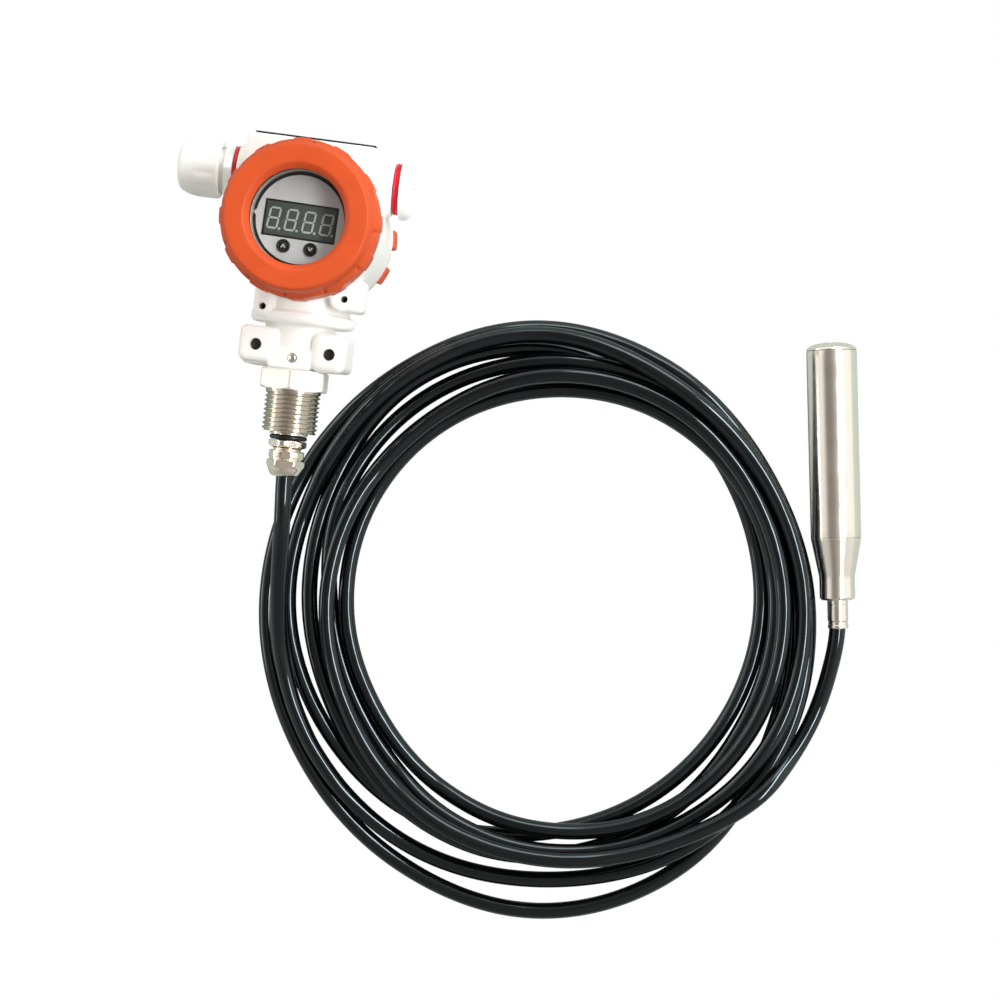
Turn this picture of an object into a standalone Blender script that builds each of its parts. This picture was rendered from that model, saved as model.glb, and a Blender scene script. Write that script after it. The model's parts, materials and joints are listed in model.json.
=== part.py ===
"""Submersible level transmitter: a cast head with a display, a coiled cable and a steel probe.

The head lies on the flat face of its rear cover. The origin is the centre of that face, +Z runs
along the drum's axis towards the display, the neck runs along -Y, and +X points at the blanking
plug. Lengths are in metres. A reach is a distance from the drum's axis along the neck or a conduit,
and a depth along the probe is counted from its tip.
"""

import math

import bmesh
import bpy
from mathutils import Vector

# Fits
SEAT_GAP = 0.0003
THREAD_GAP = 0.0004

# Levels of the head
REAR_CAP_HEIGHT = 0.0170
DRUM_LENGTH = 0.0680
FRONT_CAP_HEIGHT = 0.0264
DRUM_REAR = REAR_CAP_HEIGHT + SEAT_GAP
DRUM_FRONT = DRUM_REAR + DRUM_LENGTH
FRONT_CAP_BASE = DRUM_FRONT + SEAT_GAP
AXIS_RISE = 0.0387
AXIS_LEVEL = DRUM_REAR + AXIS_RISE

# Drum and its two compartments
DRUM_RADIUS = 0.0363
DRUM_CHAMFER = 0.0008
DRUM_WALL = 0.0063
BORE_RADIUS = DRUM_RADIUS - DRUM_WALL
MOUTH_STEP = 0.0014
MOUTH_DEPTH = 0.0028
PARTITION_DROP = 0.0163
PARTITION_THICKNESS = 0.0030
PARTITION_TOP = DRUM_FRONT - PARTITION_DROP
PARTITION_BOTTOM = PARTITION_TOP - PARTITION_THICKNESS
WIRE_HOLE_RADIUS = 0.0030
WIRE_HOLE_OFFSET = 0.0190

# Block that carries the conduits and the roof
BLOCK_OVERHANG = 0.0017
BLOCK_HALF_WIDTH = DRUM_RADIUS + BLOCK_OVERHANG
BLOCK_HALF_DEPTH = 0.0220
ROOF_RISE = 0.0039
ROOF_REACH = DRUM_RADIUS + ROOF_RISE
BLOCK_START = 0.0040
ROOF_CORNER = 0.0050
ROOF_INSET = 0.0033
ROOF_HALF_WIDTH = DRUM_RADIUS - ROOF_INSET
BOSS_RADIUS = 0.0134
BOSS_ROOT = 0.0060
BOSS_EDGE = 0.0004
BLOCK_EDGE = 0.0016
CONDUIT_FROM_ROOF = 0.0169
CONDUIT_REACH = ROOF_REACH - CONDUIT_FROM_ROOF
CONDUIT_RADIUS = 0.0090
CONDUIT_DEPTH = 0.0230
CONDUIT_START = BLOCK_HALF_WIDTH - CONDUIT_DEPTH

# Neck: collar, bracket block and the seat of the process connector
COLLAR_RADIUS = 0.0250
COLLAR_END = 0.0460
NECK_START = 0.0200
NECK_RADIUS = 0.0182
NECK_END = 0.0690
BRACKET_HALF_WIDTH = 0.0264
BRACKET_HALF_DEPTH = 0.0190
BRACKET_LENGTH = 0.0185
BRACKET_EDGE = 0.0026
BRACKET_START = NECK_END - BRACKET_LENGTH
CHANNEL_HALF_WIDTH = 0.0075
CHANNEL_DEPTH = 0.0022
CHANNEL_LENGTH = 0.0090
EAR_HOLE_OFFSET = 0.01765
EAR_HOLE_BACK = 0.0098
EAR_HOLE_RADIUS = 0.0026
EAR_HOLE_DEPTH = 0.0130
WIRE_WAY_RADIUS = 0.0090
SET_SCREW_RADIUS = 0.0020
SET_SCREW_BACK = 0.0050
SET_SCREW_LENGTH = 0.0045
SET_SCREW_SOCKET = 0.0011

# Lugs beside the neck, under the front cover: centre x, reach, half width, half length
LUG_LEFT = (-0.0150, 0.0385, 0.0055, 0.0075)
LUG_RIGHT = (0.0235, 0.0320, 0.0085, 0.0070)
LUG_DROP = 0.0053
LUG_DEPTH = 0.0140
LUG_EDGE = 0.0018
LUG_HOLE_LEFT = (-0.0152, 0.0405)
LUG_HOLE_RIGHT = (0.0225, 0.0330)
LUG_HOLE_RADIUS = 0.0012

# Screwed covers
CAP_OVERHANG = 0.0008
CAP_RADIUS = DRUM_RADIUS + CAP_OVERHANG
LOBE_HEIGHT = 0.0009
LOBE_COUNT = 12
LOBE_HALF_WIDTH = math.radians(5.0)
LOBE_FLANK = math.radians(1.5)
LOBE_PHASE = math.radians(4.0)
CAP_EDGE = 0.0009
SPIGOT_DEPTH = 0.0130
SPIGOT_RADIUS = BORE_RADIUS - THREAD_GAP
SPIGOT_WALL = 0.0041
SPIGOT_INNER = SPIGOT_RADIUS - SPIGOT_WALL
GROOVE_WIDTH = 0.0026
GROOVE_DEPTH = 0.0009
COVER_RING_WIRE = 0.0009
FRONT_SHOULDER = 0.0104
FRONT_FACE_INSET = 0.0037
FRONT_FACE_RADIUS = CAP_RADIUS - FRONT_FACE_INSET
REAR_SHOULDER = 0.0050
REAR_FACE_INSET = 0.0036
REAR_FACE_RADIUS = CAP_RADIUS - REAR_FACE_INSET
REAR_FLOOR = 0.0040
OPENING_INSET = 0.0033
OPENING_RADIUS = SPIGOT_INNER - OPENING_INSET
OPENING_BEVEL = 0.0024
LIP_THICKNESS = 0.0042
GLASS_THICKNESS = 0.0040
RETAINER_HEIGHT = 0.0060
RETAINER_WALL = 0.0030

# Display
FACEPLATE_SINK = 0.0170
FACEPLATE_TOP = FRONT_CAP_BASE + FRONT_CAP_HEIGHT - FACEPLATE_SINK
FACEPLATE_THICKNESS = 0.0010
FRAME_INSET = 0.0042
FRAME_RADIUS = SPIGOT_INNER - FRAME_INSET
FRAME_WALL = 0.0014
FACEPLATE_INSET = 0.0005
FACEPLATE_RADIUS = FRAME_RADIUS - FACEPLATE_INSET
TAB_HALF_WIDTH = 0.0016
TAB_LENGTH = 0.0016
TAB_OFFSET = 0.0008
LED_SIDE_MARGIN = 0.0029
LED_WIDTH = 2 * (FRAME_RADIUS - FRAME_WALL - LED_SIDE_MARGIN)
LED_ASPECT = 2.048
LED_HEIGHT = LED_WIDTH / LED_ASPECT
LED_OFFSET = -0.0010
LED_SINK = 0.0002
DIGIT_COUNT = 4
DIGIT_MARGIN = 0.0008
DIGIT_PITCH = (LED_WIDTH - DIGIT_MARGIN) / DIGIT_COUNT
DIGIT_SPACE = 0.0030
DIGIT_WIDTH = DIGIT_PITCH - DIGIT_SPACE
DIGIT_ROOM = 0.0061
DIGIT_HEIGHT = LED_HEIGHT - DIGIT_ROOM
DIGIT_SLANT = math.radians(6.0)
SEGMENT_WIDTH = 0.0010
SEGMENT_SPACE = 0.0004
SEGMENT_THICKNESS = 0.0002
POINT_SIZE = 0.0011
BUTTON_PITCH = 0.0128
BUTTON_DROP = 0.0039
BUTTON_OFFSET = LED_OFFSET - LED_HEIGHT / 2 - BUTTON_DROP
BUTTON_RADIUS = 0.0019
BUTTON_LENGTH = 0.0052
BUTTON_PROUD = 0.0010
COLLAR_RING_RADIUS = 0.0032
COLLAR_RING_HEIGHT = 0.0008
BOARD_THICKNESS = 0.0016
BOARD_INSET = 0.0020
BOARD_RADIUS = SPIGOT_INNER - BOARD_INSET
FRAME_HEIGHT = 0.0035
PILLAR_RADIUS = 0.0020
PILLAR_INSET = 0.0050
PILLAR_CIRCLE = BOARD_RADIUS - PILLAR_INSET
PILLAR_COUNT = 3
SPACER_RING_HEIGHT = 0.0012
MODULE_INSET = 0.0007
MODULE_RADIUS = SPIGOT_INNER - MODULE_INSET
MODULE_HEIGHT = 0.0100

# Rear compartment
TERMINAL_WIDTH = 0.0340
TERMINAL_LENGTH = 0.0140
TERMINAL_HEIGHT = 0.0120
TERMINAL_PITCH = 0.0100
TERMINAL_COUNT = 3
TERMINAL_SCREW_RADIUS = 0.0024
TERMINAL_SCREW_HEIGHT = 0.0026

# Nameplate on the roof
PLATE_WIDTH = 0.0560
PLATE_DEPTH = 0.0320
PLATE_THICKNESS = 0.0009
RIVET_RADIUS = 0.0013
RIVET_HEIGHT = 0.0006
RIVET_INSET = 0.0030

# Unused conduit's cable gland, to the left
SIDE_WASHER_THICKNESS = 0.0015
SIDE_WASHER_RADIUS = 0.0123
WASHER_BORE = CONDUIT_RADIUS + SEAT_GAP
CONDUIT_THREAD_RADIUS = CONDUIT_RADIUS - THREAD_GAP
CONDUIT_THREAD_LENGTH = 0.0140
CONDUIT_THREAD_END = BLOCK_HALF_WIDTH - CONDUIT_THREAD_LENGTH
SIDE_FLANGE_RADIUS = 0.0139
SIDE_FLANGE_THICKNESS = 0.0040
COLLET_RADIUS = 0.0104
COLLET_LENGTH = 0.0120
SIDE_BORE = 0.0070
SIDE_NUT_GAP = 0.0024
SIDE_NUT_LENGTH = 0.0205
SIDE_NUT_RADIUS = 0.0138
SIDE_NUT_END_RADIUS = 0.0092
SIDE_NUT_MOUTH = 0.0073
SIDE_NUT_THREAD_LENGTH = 0.0115
INSERT_LENGTH = 0.0150

# Blanking plug, to the right
PLUG_WASHER_THICKNESS = 0.0026
PLUG_WASHER_RADIUS = 0.0125
PLUG_HEAD_RADIUS = 0.01465
PLUG_HEAD_HEIGHT = 0.0062
PLUG_SLOT_WIDTH = 0.0022
PLUG_SLOT_LENGTH = 0.0160
PLUG_SLOT_DEPTH = 0.0018

# Process connector, one steel piece
CONNECTOR_SPIGOT_RADIUS = 0.0130
CONNECTOR_SPIGOT_LENGTH = 0.0170
CONNECTOR_BORE = 0.0048
HEX_FLATS = 0.0308
HEX_LENGTH = 0.0098
HEX_CORNER_CUT = 0.0015
THREAD_RADIUS = 0.0135
THREAD_DEPTH = 0.0012
THREAD_PITCH = 0.0022
THREAD_TURNS = 9
THREAD_RELIEF = 0.0009
STEP_RADIUS = 0.0092
STEP_LENGTH = 0.0011
GLAND_SOCKET_DEPTH = 0.0090
GLAND_THREAD_RADIUS = 0.0057

# Cable gland at the connector's end
SEAL_WIRE = 0.0011
SEAL_RADIUS = 0.0073
GLAND_HEX_FLATS = 0.0162
GLAND_HEX_LENGTH = 0.0035
GLAND_NECK_RADIUS = 0.0072
GLAND_NECK_LENGTH = 0.0012
GLAND_TOP_RADIUS = 0.0066
GLAND_TOP_LENGTH = 0.0046
GLAND_BORE = 0.0045
GLAND_NUT_FLATS = 0.0164
GLAND_NUT_HEX_LENGTH = 0.0058
GLAND_NUT_LENGTH = 0.0127
GLAND_NUT_MOUTH = 0.0046
GLAND_NUT_LIP = 0.0018
GROMMET_RADIUS = 0.0066
GROMMET_LENGTH = 0.0055

# Cable
CABLE_RADIUS = 0.0041
CABLE_FIT = 0.0003

# Probe, from its tip
PROBE_TIP = (0.2608, -0.0240)
PROBE_HEADING = math.radians(-81.85)
PROBE_RADIUS = 0.0126
PROBE_WALL = 0.0017
NOSE_RIM = 0.0040
NOSE_ROUND = 0.0018
NOSE_SPIGOT = 0.0090
NOSE_WALL = 0.0021
NOSE_FLOOR = 0.0025
NOSE_HOLE_RADIUS = 0.0012
NOSE_HOLE_CIRCLE = 0.0048
NOSE_HOLE_COUNT = 5
NOSE_HOLE_PHASE = math.radians(5.0)
CAPSULE_LENGTH = 0.0097
CAPSULE_GROOVE_START = 0.0032
CAPSULE_GROOVE_WIDTH = 0.0025
CAPSULE_GROOVE_DEPTH = 0.0018
CAPSULE_RING_WIRE = 0.0008
TUBE_END = 0.0980
TAIL_SPIGOT = 0.0060
TAPER_LENGTH = 0.0190
TAIL_RADIUS = 0.00885
TAIL_END = 0.1294
TAIL_SOCKET_DEPTH = 0.0194
TAIL_WIRE_WAY = 0.0040
SLEEVE_RADIUS = 0.00515
SLEEVE_DEPTH = 0.0104
SLEEVE_END = 0.1438
SLEEVE_CRIMP = 0.0003
SLEEVE_BORE = CABLE_RADIUS + CABLE_FIT
BUSH_LENGTH = 0.0084
BUSH_BORE = 0.0015
PROBE_BOARD_WIDTH = 0.0180

# Coil: the radius of the cable's centre line every 30 degrees, one row for each turn, counter-clockwise
COIL_CENTRE = (0.1310, -0.1763)
COIL_START = math.radians(156.7)
COIL_STEP = math.radians(30.0)
COIL_HEIGHT = 0.0275
COIL_SIDES = 60
TURN_RADII = (
    (0.1461, 0.1354, 0.1349, 0.1361, 0.1363, 0.1403, 0.1395, 0.1359, 0.1349, 0.1403, 0.1446, 0.1414),
    (0.1393, 0.1392, 0.1407, 0.1460, 0.1517, 0.1477, 0.1344, 0.1276, 0.1283, 0.1306, 0.1273, 0.1236),
    (0.1164, 0.1072, 0.1054, 0.1110, 0.1204, 0.1283, 0.1330, 0.1332, 0.1331, 0.1342, 0.1410, 0.1372),
    (0.1309, 0.1268, 0.1227, 0.1204, 0.1133, 0.1099, 0.1096, 0.1125, 0.1176, 0.1265, 0.1344, 0.1339),
    (0.1235, 0.1171, 0.1157, 0.1200, 0.1248, 0.1222, 0.1184, 0.1194, 0.1207, 0.1183, 0.1130, 0.1080),
    (0.1031, 0.0985, 0.0967, 0.1014, 0.1096, 0.1184, 0.1220, 0.1229, 0.1239, 0.1242, 0.1199, 0.1124),
    (0.1091, 0.1080, 0.1095, 0.1155, 0.1227, 0.1332),
)

# Free stretches of the cable, from the gland down onto the coil and from the probe to the coil
LEAD_ROUTE = (
    (0.0, -0.1330, 0.0555),
    (-0.0001, -0.1429, 0.0532),
    (-0.0010, -0.1538, 0.0486),
    (-0.0017, -0.1660, 0.0420),
    (-0.0020, -0.1760, 0.0368),
    (-0.0018, -0.1860, 0.0332),
    (-0.0006, -0.1970, 0.0320),
)
TAIL_ROUTE = (
    (0.2818, -0.1725, 0.0125),
    (0.2818, -0.1785, 0.0117),
    (0.2812, -0.1849, 0.0104),
    (0.2795, -0.1986, 0.0077),
    (0.2768, -0.2108, 0.0069),
    (0.2711, -0.2218, 0.0080),
)
ROUTE_POINTS_PER_SPAN = 2

ROUND_SIDES = 30
SMALL_SIDES = 16
TINY_SIDES = 10
SHARP_ANGLE = math.radians(32.0)

AIM = {
    "up": (0.0, 0.0, 0.0),
    "down": (math.pi, 0.0, 0.0),
    "neck": (math.pi / 2, 0.0, 0.0),
    "right": (0.0, math.pi / 2, 0.0),
    "left": (0.0, -math.pi / 2, 0.0),
}
NECK_AXIS = (0.0, 0.0, AXIS_LEVEL)
CONDUIT_AXIS = (0.0, CONDUIT_REACH, AXIS_LEVEL)


def linear(channel):
    """One sRGB channel, 0 to 255, as the linear value a shader takes."""
    value = channel / 255.0
    if value <= 0.04045:
        return value / 12.92
    return ((value + 0.055) / 1.055) ** 2.4


def make_material(name, rgb, roughness, metallic=0.0, alpha=1.0):
    material = bpy.data.materials.new(name)
    material.use_nodes = True
    shader = material.node_tree.nodes["Principled BSDF"]
    shader.inputs["Base Color"].default_value = (*[linear(c) for c in rgb], 1.0)
    shader.inputs["Roughness"].default_value = roughness
    shader.inputs["Metallic"].default_value = metallic
    shader.inputs["Alpha"].default_value = alpha
    return material


def dress(piece, material):
    """Gives a piece its own copy of a material and smooth shading with sharp edges kept."""
    own = material.copy()
    own.name = f"{piece.name}_{material.name}"
    piece.data.materials.clear()
    piece.data.materials.append(own)
    piece.data.shade_smooth()
    piece.data.set_sharp_from_angle(angle=SHARP_ANGLE)
    return piece


def object_from(name, bm, place=(0.0, 0.0, 0.0), turn=(0.0, 0.0, 0.0)):
    bmesh.ops.recalc_face_normals(bm, faces=bm.faces)
    mesh = bpy.data.meshes.new(name)
    bm.to_mesh(mesh)
    bm.free()
    piece = bpy.data.objects.new(name, mesh)
    piece.location = place
    piece.rotation_euler = turn
    bpy.context.scene.collection.objects.link(piece)
    return piece


def even_angles(count):
    return [2.0 * math.pi * i / count for i in range(count)]


def lobe_angles():
    """Angles round a cover's rim, four for each grip lobe, with how far the rim stands out there."""
    pitch = 2.0 * math.pi / LOBE_COUNT
    edge = LOBE_HALF_WIDTH + LOBE_FLANK
    angles = []
    rises = []
    for i in range(LOBE_COUNT):
        middle = LOBE_PHASE + i * pitch
        angles += [middle - edge, middle - LOBE_HALF_WIDTH, middle + LOBE_HALF_WIDTH, middle + edge]
        rises += [0.0, LOBE_HEIGHT, LOBE_HEIGHT, 0.0]
    return angles, rises


def turned(name, profile, place=(0.0, 0.0, 0.0), turn=(0.0, 0.0, 0.0), sides=ROUND_SIDES, rim=()):
    """A closed profile of (radius, height) points turned about its own Z axis.

    Points whose index is in rim follow the grip lobes instead of a plain circle."""
    angles = even_angles(sides)
    rises = [0.0] * sides
    if rim:
        angles, rises = lobe_angles()
    bm = bmesh.new()
    rings = []
    for index, (radius, height) in enumerate(profile):
        if radius == 0.0:
            rings.append([bm.verts.new((0.0, 0.0, height))])
            continue
        ring = []
        for angle, rise in zip(angles, rises):
            reach = radius + (rise if index in rim else 0.0)
            ring.append(bm.verts.new((reach * math.cos(angle), reach * math.sin(angle), height)))
        rings.append(ring)
    count = len(angles)
    for first, second in zip(rings, rings[1:] + rings[:1]):
        for i in range(count):
            j = (i + 1) % count
            low = [first[i % len(first)], first[j % len(first)]]
            high = [second[j % len(second)], second[i % len(second)]]
            unique = list(dict.fromkeys(low + high))
            if len(unique) > 2:
                bm.faces.new(unique)
    return object_from(name, bm, place, turn)


def torus(name, radius, wire, place, turn=(0.0, 0.0, 0.0), sides=ROUND_SIDES, wire_sides=6):
    """An O-ring about its own Z axis: a circle of the wire's radius turned at the ring's radius."""
    profile = [(radius + wire * math.cos(a), wire * math.sin(a)) for a in even_angles(wire_sides)]
    return turned(name, profile, place, turn, sides)


def prism(name, outline, low, high, place=(0.0, 0.0, 0.0), turn=(0.0, 0.0, 0.0)):
    """A flat outline of (x, y) points carried along its own Z axis from low to high."""
    bm = bmesh.new()
    bottom = [bm.verts.new((x, y, low)) for x, y in outline]
    top = [bm.verts.new((x, y, high)) for x, y in outline]
    bm.faces.new(bottom)
    bm.faces.new(top)
    for i in range(len(outline)):
        j = (i + 1) % len(outline)
        bm.faces.new((bottom[i], bottom[j], top[j], top[i]))
    return object_from(name, bm, place, turn)


def block(name, low, high, place=(0.0, 0.0, 0.0), turn=(0.0, 0.0, 0.0)):
    outline = [(low[0], low[1]), (high[0], low[1]), (high[0], high[1]), (low[0], high[1])]
    return prism(name, outline, low[2], high[2], place, turn)


def hexagon(flats):
    """Six corners about the axis, with a corner on the local Y axis."""
    radius = flats / math.sqrt(3.0)
    return [(radius * math.sin(a), radius * math.cos(a)) for a in even_angles(6)]


def rod(name, radius, low, high, place=(0.0, 0.0, 0.0), turn=(0.0, 0.0, 0.0), sides=ROUND_SIDES):
    return turned(name, [(0.0, low), (radius, low), (radius, high), (0.0, high)], place, turn, sides)


def settle(piece):
    """Replaces a piece's mesh by what its modifiers make of it."""
    bpy.context.view_layer.update()
    graph = bpy.context.evaluated_depsgraph_get()
    mesh = bpy.data.meshes.new_from_object(piece.evaluated_get(graph))
    piece.modifiers.clear()
    piece.data = mesh


def soften(piece, width, steps=2):
    bevel = piece.modifiers.new("edge", "BEVEL")
    bevel.width = width
    bevel.segments = steps
    bevel.limit_method = "ANGLE"
    bevel.angle_limit = math.radians(40.0)
    settle(piece)
    return piece


def combine(piece, others, operation):
    """A Boolean of a piece with each of the others in turn; the others are used up."""
    for other in others:
        step = piece.modifiers.new("boolean", "BOOLEAN")
        step.operation = operation
        step.solver = "EXACT"
        step.object = other
        settle(piece)
        bpy.data.objects.remove(other)
    return piece


def join(piece, *others):
    return combine(piece, others, "UNION")


def cut(piece, *cutters):
    return combine(piece, cutters, "DIFFERENCE")


def smooth_route(points, per_span):
    """Points on a Catmull-Rom curve through the given points."""
    points = [Vector(p) for p in points]
    padded = [2 * points[0] - points[1]] + points + [2 * points[-1] - points[-2]]
    route = []
    for a, b, c, d in zip(padded, padded[1:], padded[2:], padded[3:]):
        for i in range(per_span):
            t = i / per_span
            curve = 2 * b + (c - a) * t + (2 * a - 5 * b + 4 * c - d) * t**2 + (3 * b - a - 3 * c + d) * t**3
            route.append(curve / 2)
    route.append(points[-1])
    return route


def cable_tube(name, points, material):
    """A round cable along a smooth route, as a curve with a bevel and filled ends."""
    route = smooth_route(points, ROUTE_POINTS_PER_SPAN)
    curve = bpy.data.curves.new(name, "CURVE")
    curve.dimensions = "3D"
    curve.bevel_depth = CABLE_RADIUS
    curve.bevel_resolution = 2
    curve.use_fill_caps = True
    spline = curve.splines.new("POLY")
    spline.points.add(len(route) - 1)
    for point, place in zip(spline.points, route):
        point.co = (*place, 1.0)
        point.radius = 1.0
    tube = bpy.data.objects.new(name, curve)
    bpy.context.scene.collection.objects.link(tube)
    own = material.copy()
    own.name = f"{name}_{material.name}"
    curve.materials.append(own)
    return tube


def roof_outline():
    """The conduit block seen along the drum: a square foot and two rounded roof corners."""
    outline = [(-ROOF_HALF_WIDTH, BLOCK_START), (ROOF_HALF_WIDTH, BLOCK_START)]
    for side, first in ((1.0, 0.0), (-1.0, 90.0)):
        for i in range(6):
            angle = math.radians(first + 18.0 * i)
            x = side * (ROOF_HALF_WIDTH - ROOF_CORNER) + ROOF_CORNER * math.cos(angle)
            y = ROOF_REACH - ROOF_CORNER + ROOF_CORNER * math.sin(angle)
            outline.append((x, y))
    return outline


def boss(name, way):
    """The round boss that carries one conduit entry out of the block's side."""
    start = ROOF_HALF_WIDTH - BOSS_ROOT
    profile = [
        (0.0, start),
        (BOSS_RADIUS, start),
        (BOSS_RADIUS, BLOCK_HALF_WIDTH - BOSS_EDGE),
        (BOSS_RADIUS - BOSS_EDGE, BLOCK_HALF_WIDTH),
        (0.0, BLOCK_HALF_WIDTH),
    ]
    return turned(name, profile, CONDUIT_AXIS, AIM[way], 26)


def lug(name, shape):
    x, reach, half_width, half_length = shape
    top = DRUM_FRONT - LUG_DROP
    low = (x - half_width, -reach - half_length, top - LUG_DEPTH)
    high = (x + half_width, -reach + half_length, top)
    return soften(block(name, low, high), LUG_EDGE)


def lug_hole(name, centre):
    top = DRUM_FRONT - LUG_DROP
    place = (centre[0], -centre[1], 0.0)
    return rod(name, LUG_HOLE_RADIUS, top - 2 * LUG_DEPTH, top + LUG_DEPTH, place, sides=TINY_SIDES)


def compartment(name, floor, step, mouth):
    """Cutter for one compartment: the threaded bore and the wider mouth for the cover's seal."""
    wide = BORE_RADIUS + MOUTH_STEP
    profile = [
        (0.0, floor),
        (BORE_RADIUS, floor),
        (BORE_RADIUS, step),
        (wide, step),
        (wide, mouth),
        (0.0, mouth),
    ]
    return turned(name, profile, sides=42)


def neck_bore(name, end):
    """Cutter for the wires' way through the neck and the wider seat of the connector."""
    seat = CONNECTOR_SPIGOT_RADIUS + THREAD_GAP
    step = NECK_END - CONNECTOR_SPIGOT_LENGTH - SEAT_GAP
    profile = [
        (0.0, NECK_START),
        (WIRE_WAY_RADIUS, NECK_START),
        (WIRE_WAY_RADIUS, step),
        (seat, step),
        (seat, end),
        (0.0, end),
    ]
    return turned(name, profile, NECK_AXIS, AIM["neck"], 24)


def make_housing(paint):
    """The casting: a drum with a compartment at each end, a conduit block, a neck and two lugs."""
    edge = DRUM_CHAMFER
    drum = turned(
        "housing_body",
        [
            (0.0, DRUM_REAR),
            (DRUM_RADIUS - edge, DRUM_REAR),
            (DRUM_RADIUS, DRUM_REAR + edge),
            (DRUM_RADIUS, DRUM_FRONT - edge),
            (DRUM_RADIUS - edge, DRUM_FRONT),
            (0.0, DRUM_FRONT),
        ],
        sides=42,
    )
    roof = prism("roof", roof_outline(), AXIS_LEVEL - BLOCK_HALF_DEPTH, AXIS_LEVEL + BLOCK_HALF_DEPTH)
    soften(roof, BLOCK_EDGE)
    neck_profile = [
        (0.0, NECK_START),
        (COLLAR_RADIUS, NECK_START),
        (COLLAR_RADIUS, COLLAR_END - BRACKET_EDGE),
        (COLLAR_RADIUS - BRACKET_EDGE, COLLAR_END),
        (NECK_RADIUS, COLLAR_END + BRACKET_EDGE),
        (NECK_RADIUS, NECK_END - BRACKET_EDGE / 2),
        (0.0, NECK_END - BRACKET_EDGE / 2),
    ]
    neck = turned("neck", neck_profile, NECK_AXIS, AIM["neck"])
    bracket = block(
        "bracket",
        (-BRACKET_HALF_WIDTH, -NECK_END, AXIS_LEVEL - BRACKET_HALF_DEPTH),
        (BRACKET_HALF_WIDTH, -BRACKET_START, AXIS_LEVEL + BRACKET_HALF_DEPTH),
    )
    soften(bracket, BRACKET_EDGE, 3)
    bosses = [boss("boss_right", "right"), boss("boss_left", "left")]
    join(drum, roof, *bosses, neck, bracket, lug("lug_left", LUG_LEFT), lug("lug_right", LUG_RIGHT))

    bracket_front = AXIS_LEVEL + BRACKET_HALF_DEPTH
    channel_low = (-CHANNEL_HALF_WIDTH, -BRACKET_START - CHANNEL_LENGTH, bracket_front - CHANNEL_DEPTH)
    channel_high = (CHANNEL_HALF_WIDTH, -BRACKET_START + BRACKET_EDGE, bracket_front + CHANNEL_DEPTH)
    beyond = DRUM_CHAMFER
    cut(
        drum,
        block("channel", channel_low, channel_high),
        compartment("front_bore", PARTITION_TOP, DRUM_FRONT - MOUTH_DEPTH, DRUM_FRONT + beyond),
        compartment("rear_bore", PARTITION_BOTTOM, DRUM_REAR + MOUTH_DEPTH, DRUM_REAR - beyond),
        rod("wire_hole", WIRE_HOLE_RADIUS, PARTITION_BOTTOM - beyond, PARTITION_TOP + beyond,
            (WIRE_HOLE_OFFSET, 0.0, 0.0), sides=TINY_SIDES),
        rod("right_conduit", CONDUIT_RADIUS, CONDUIT_START, BLOCK_HALF_WIDTH + beyond, CONDUIT_AXIS,
            AIM["right"], 24),
        rod("left_conduit", CONDUIT_RADIUS, CONDUIT_START, BLOCK_HALF_WIDTH + beyond, CONDUIT_AXIS,
            AIM["left"], 24),
        neck_bore("neck_bore", NECK_END + beyond),
        rod("set_screw_hole", SET_SCREW_RADIUS + SEAT_GAP, AXIS_LEVEL + CONNECTOR_SPIGOT_RADIUS / 2,
            bracket_front + beyond, (0.0, -NECK_END + SET_SCREW_BACK, 0.0), sides=TINY_SIDES),
        lug_hole("lug_hole_left", LUG_HOLE_LEFT),
        lug_hole("lug_hole_right", LUG_HOLE_RIGHT),
    )
    for side in (-1.0, 1.0):
        place = (side * EAR_HOLE_OFFSET, -NECK_END + EAR_HOLE_BACK, 0.0)
        cut(drum, rod("ear_hole", EAR_HOLE_RADIUS, bracket_front - EAR_HOLE_DEPTH, bracket_front + beyond,
                      place, sides=16))
    dress(drum, paint)


def spigot_profile():
    """The threaded skirt of a cover and its seal groove, from the inner edge to the flange's edge."""
    groove = SPIGOT_RADIUS - GROOVE_DEPTH
    return [
        (SPIGOT_INNER, -SPIGOT_DEPTH),
        (SPIGOT_RADIUS, -SPIGOT_DEPTH),
        (SPIGOT_RADIUS, -GROOVE_WIDTH),
        (groove, -GROOVE_WIDTH),
        (groove, 0.0),
        (CAP_RADIUS - CAP_EDGE, 0.0),
        (CAP_RADIUS, CAP_EDGE),
    ]


def make_front_cover(paint):
    """The ring cover: lobed rim, sloping shoulder, flat face and a bevelled window."""
    shoulder = FRONT_CAP_HEIGHT - FRONT_SHOULDER
    lip = FRONT_CAP_HEIGHT - LIP_THICKNESS
    profile = spigot_profile() + [
        (CAP_RADIUS, shoulder),
        (CAP_RADIUS - 2 * CAP_EDGE, shoulder + 2 * CAP_EDGE),
        (FRONT_FACE_RADIUS + CAP_EDGE, FRONT_CAP_HEIGHT - CAP_EDGE),
        (FRONT_FACE_RADIUS, FRONT_CAP_HEIGHT),
        (OPENING_RADIUS + OPENING_BEVEL, FRONT_CAP_HEIGHT),
        (OPENING_RADIUS, FRONT_CAP_HEIGHT - OPENING_BEVEL),
        (OPENING_RADIUS, lip),
        (SPIGOT_INNER, lip),
    ]
    cover = turned("front_cover", profile, (0.0, 0.0, FRONT_CAP_BASE), rim=(6, 7))
    dress(cover, paint)


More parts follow.
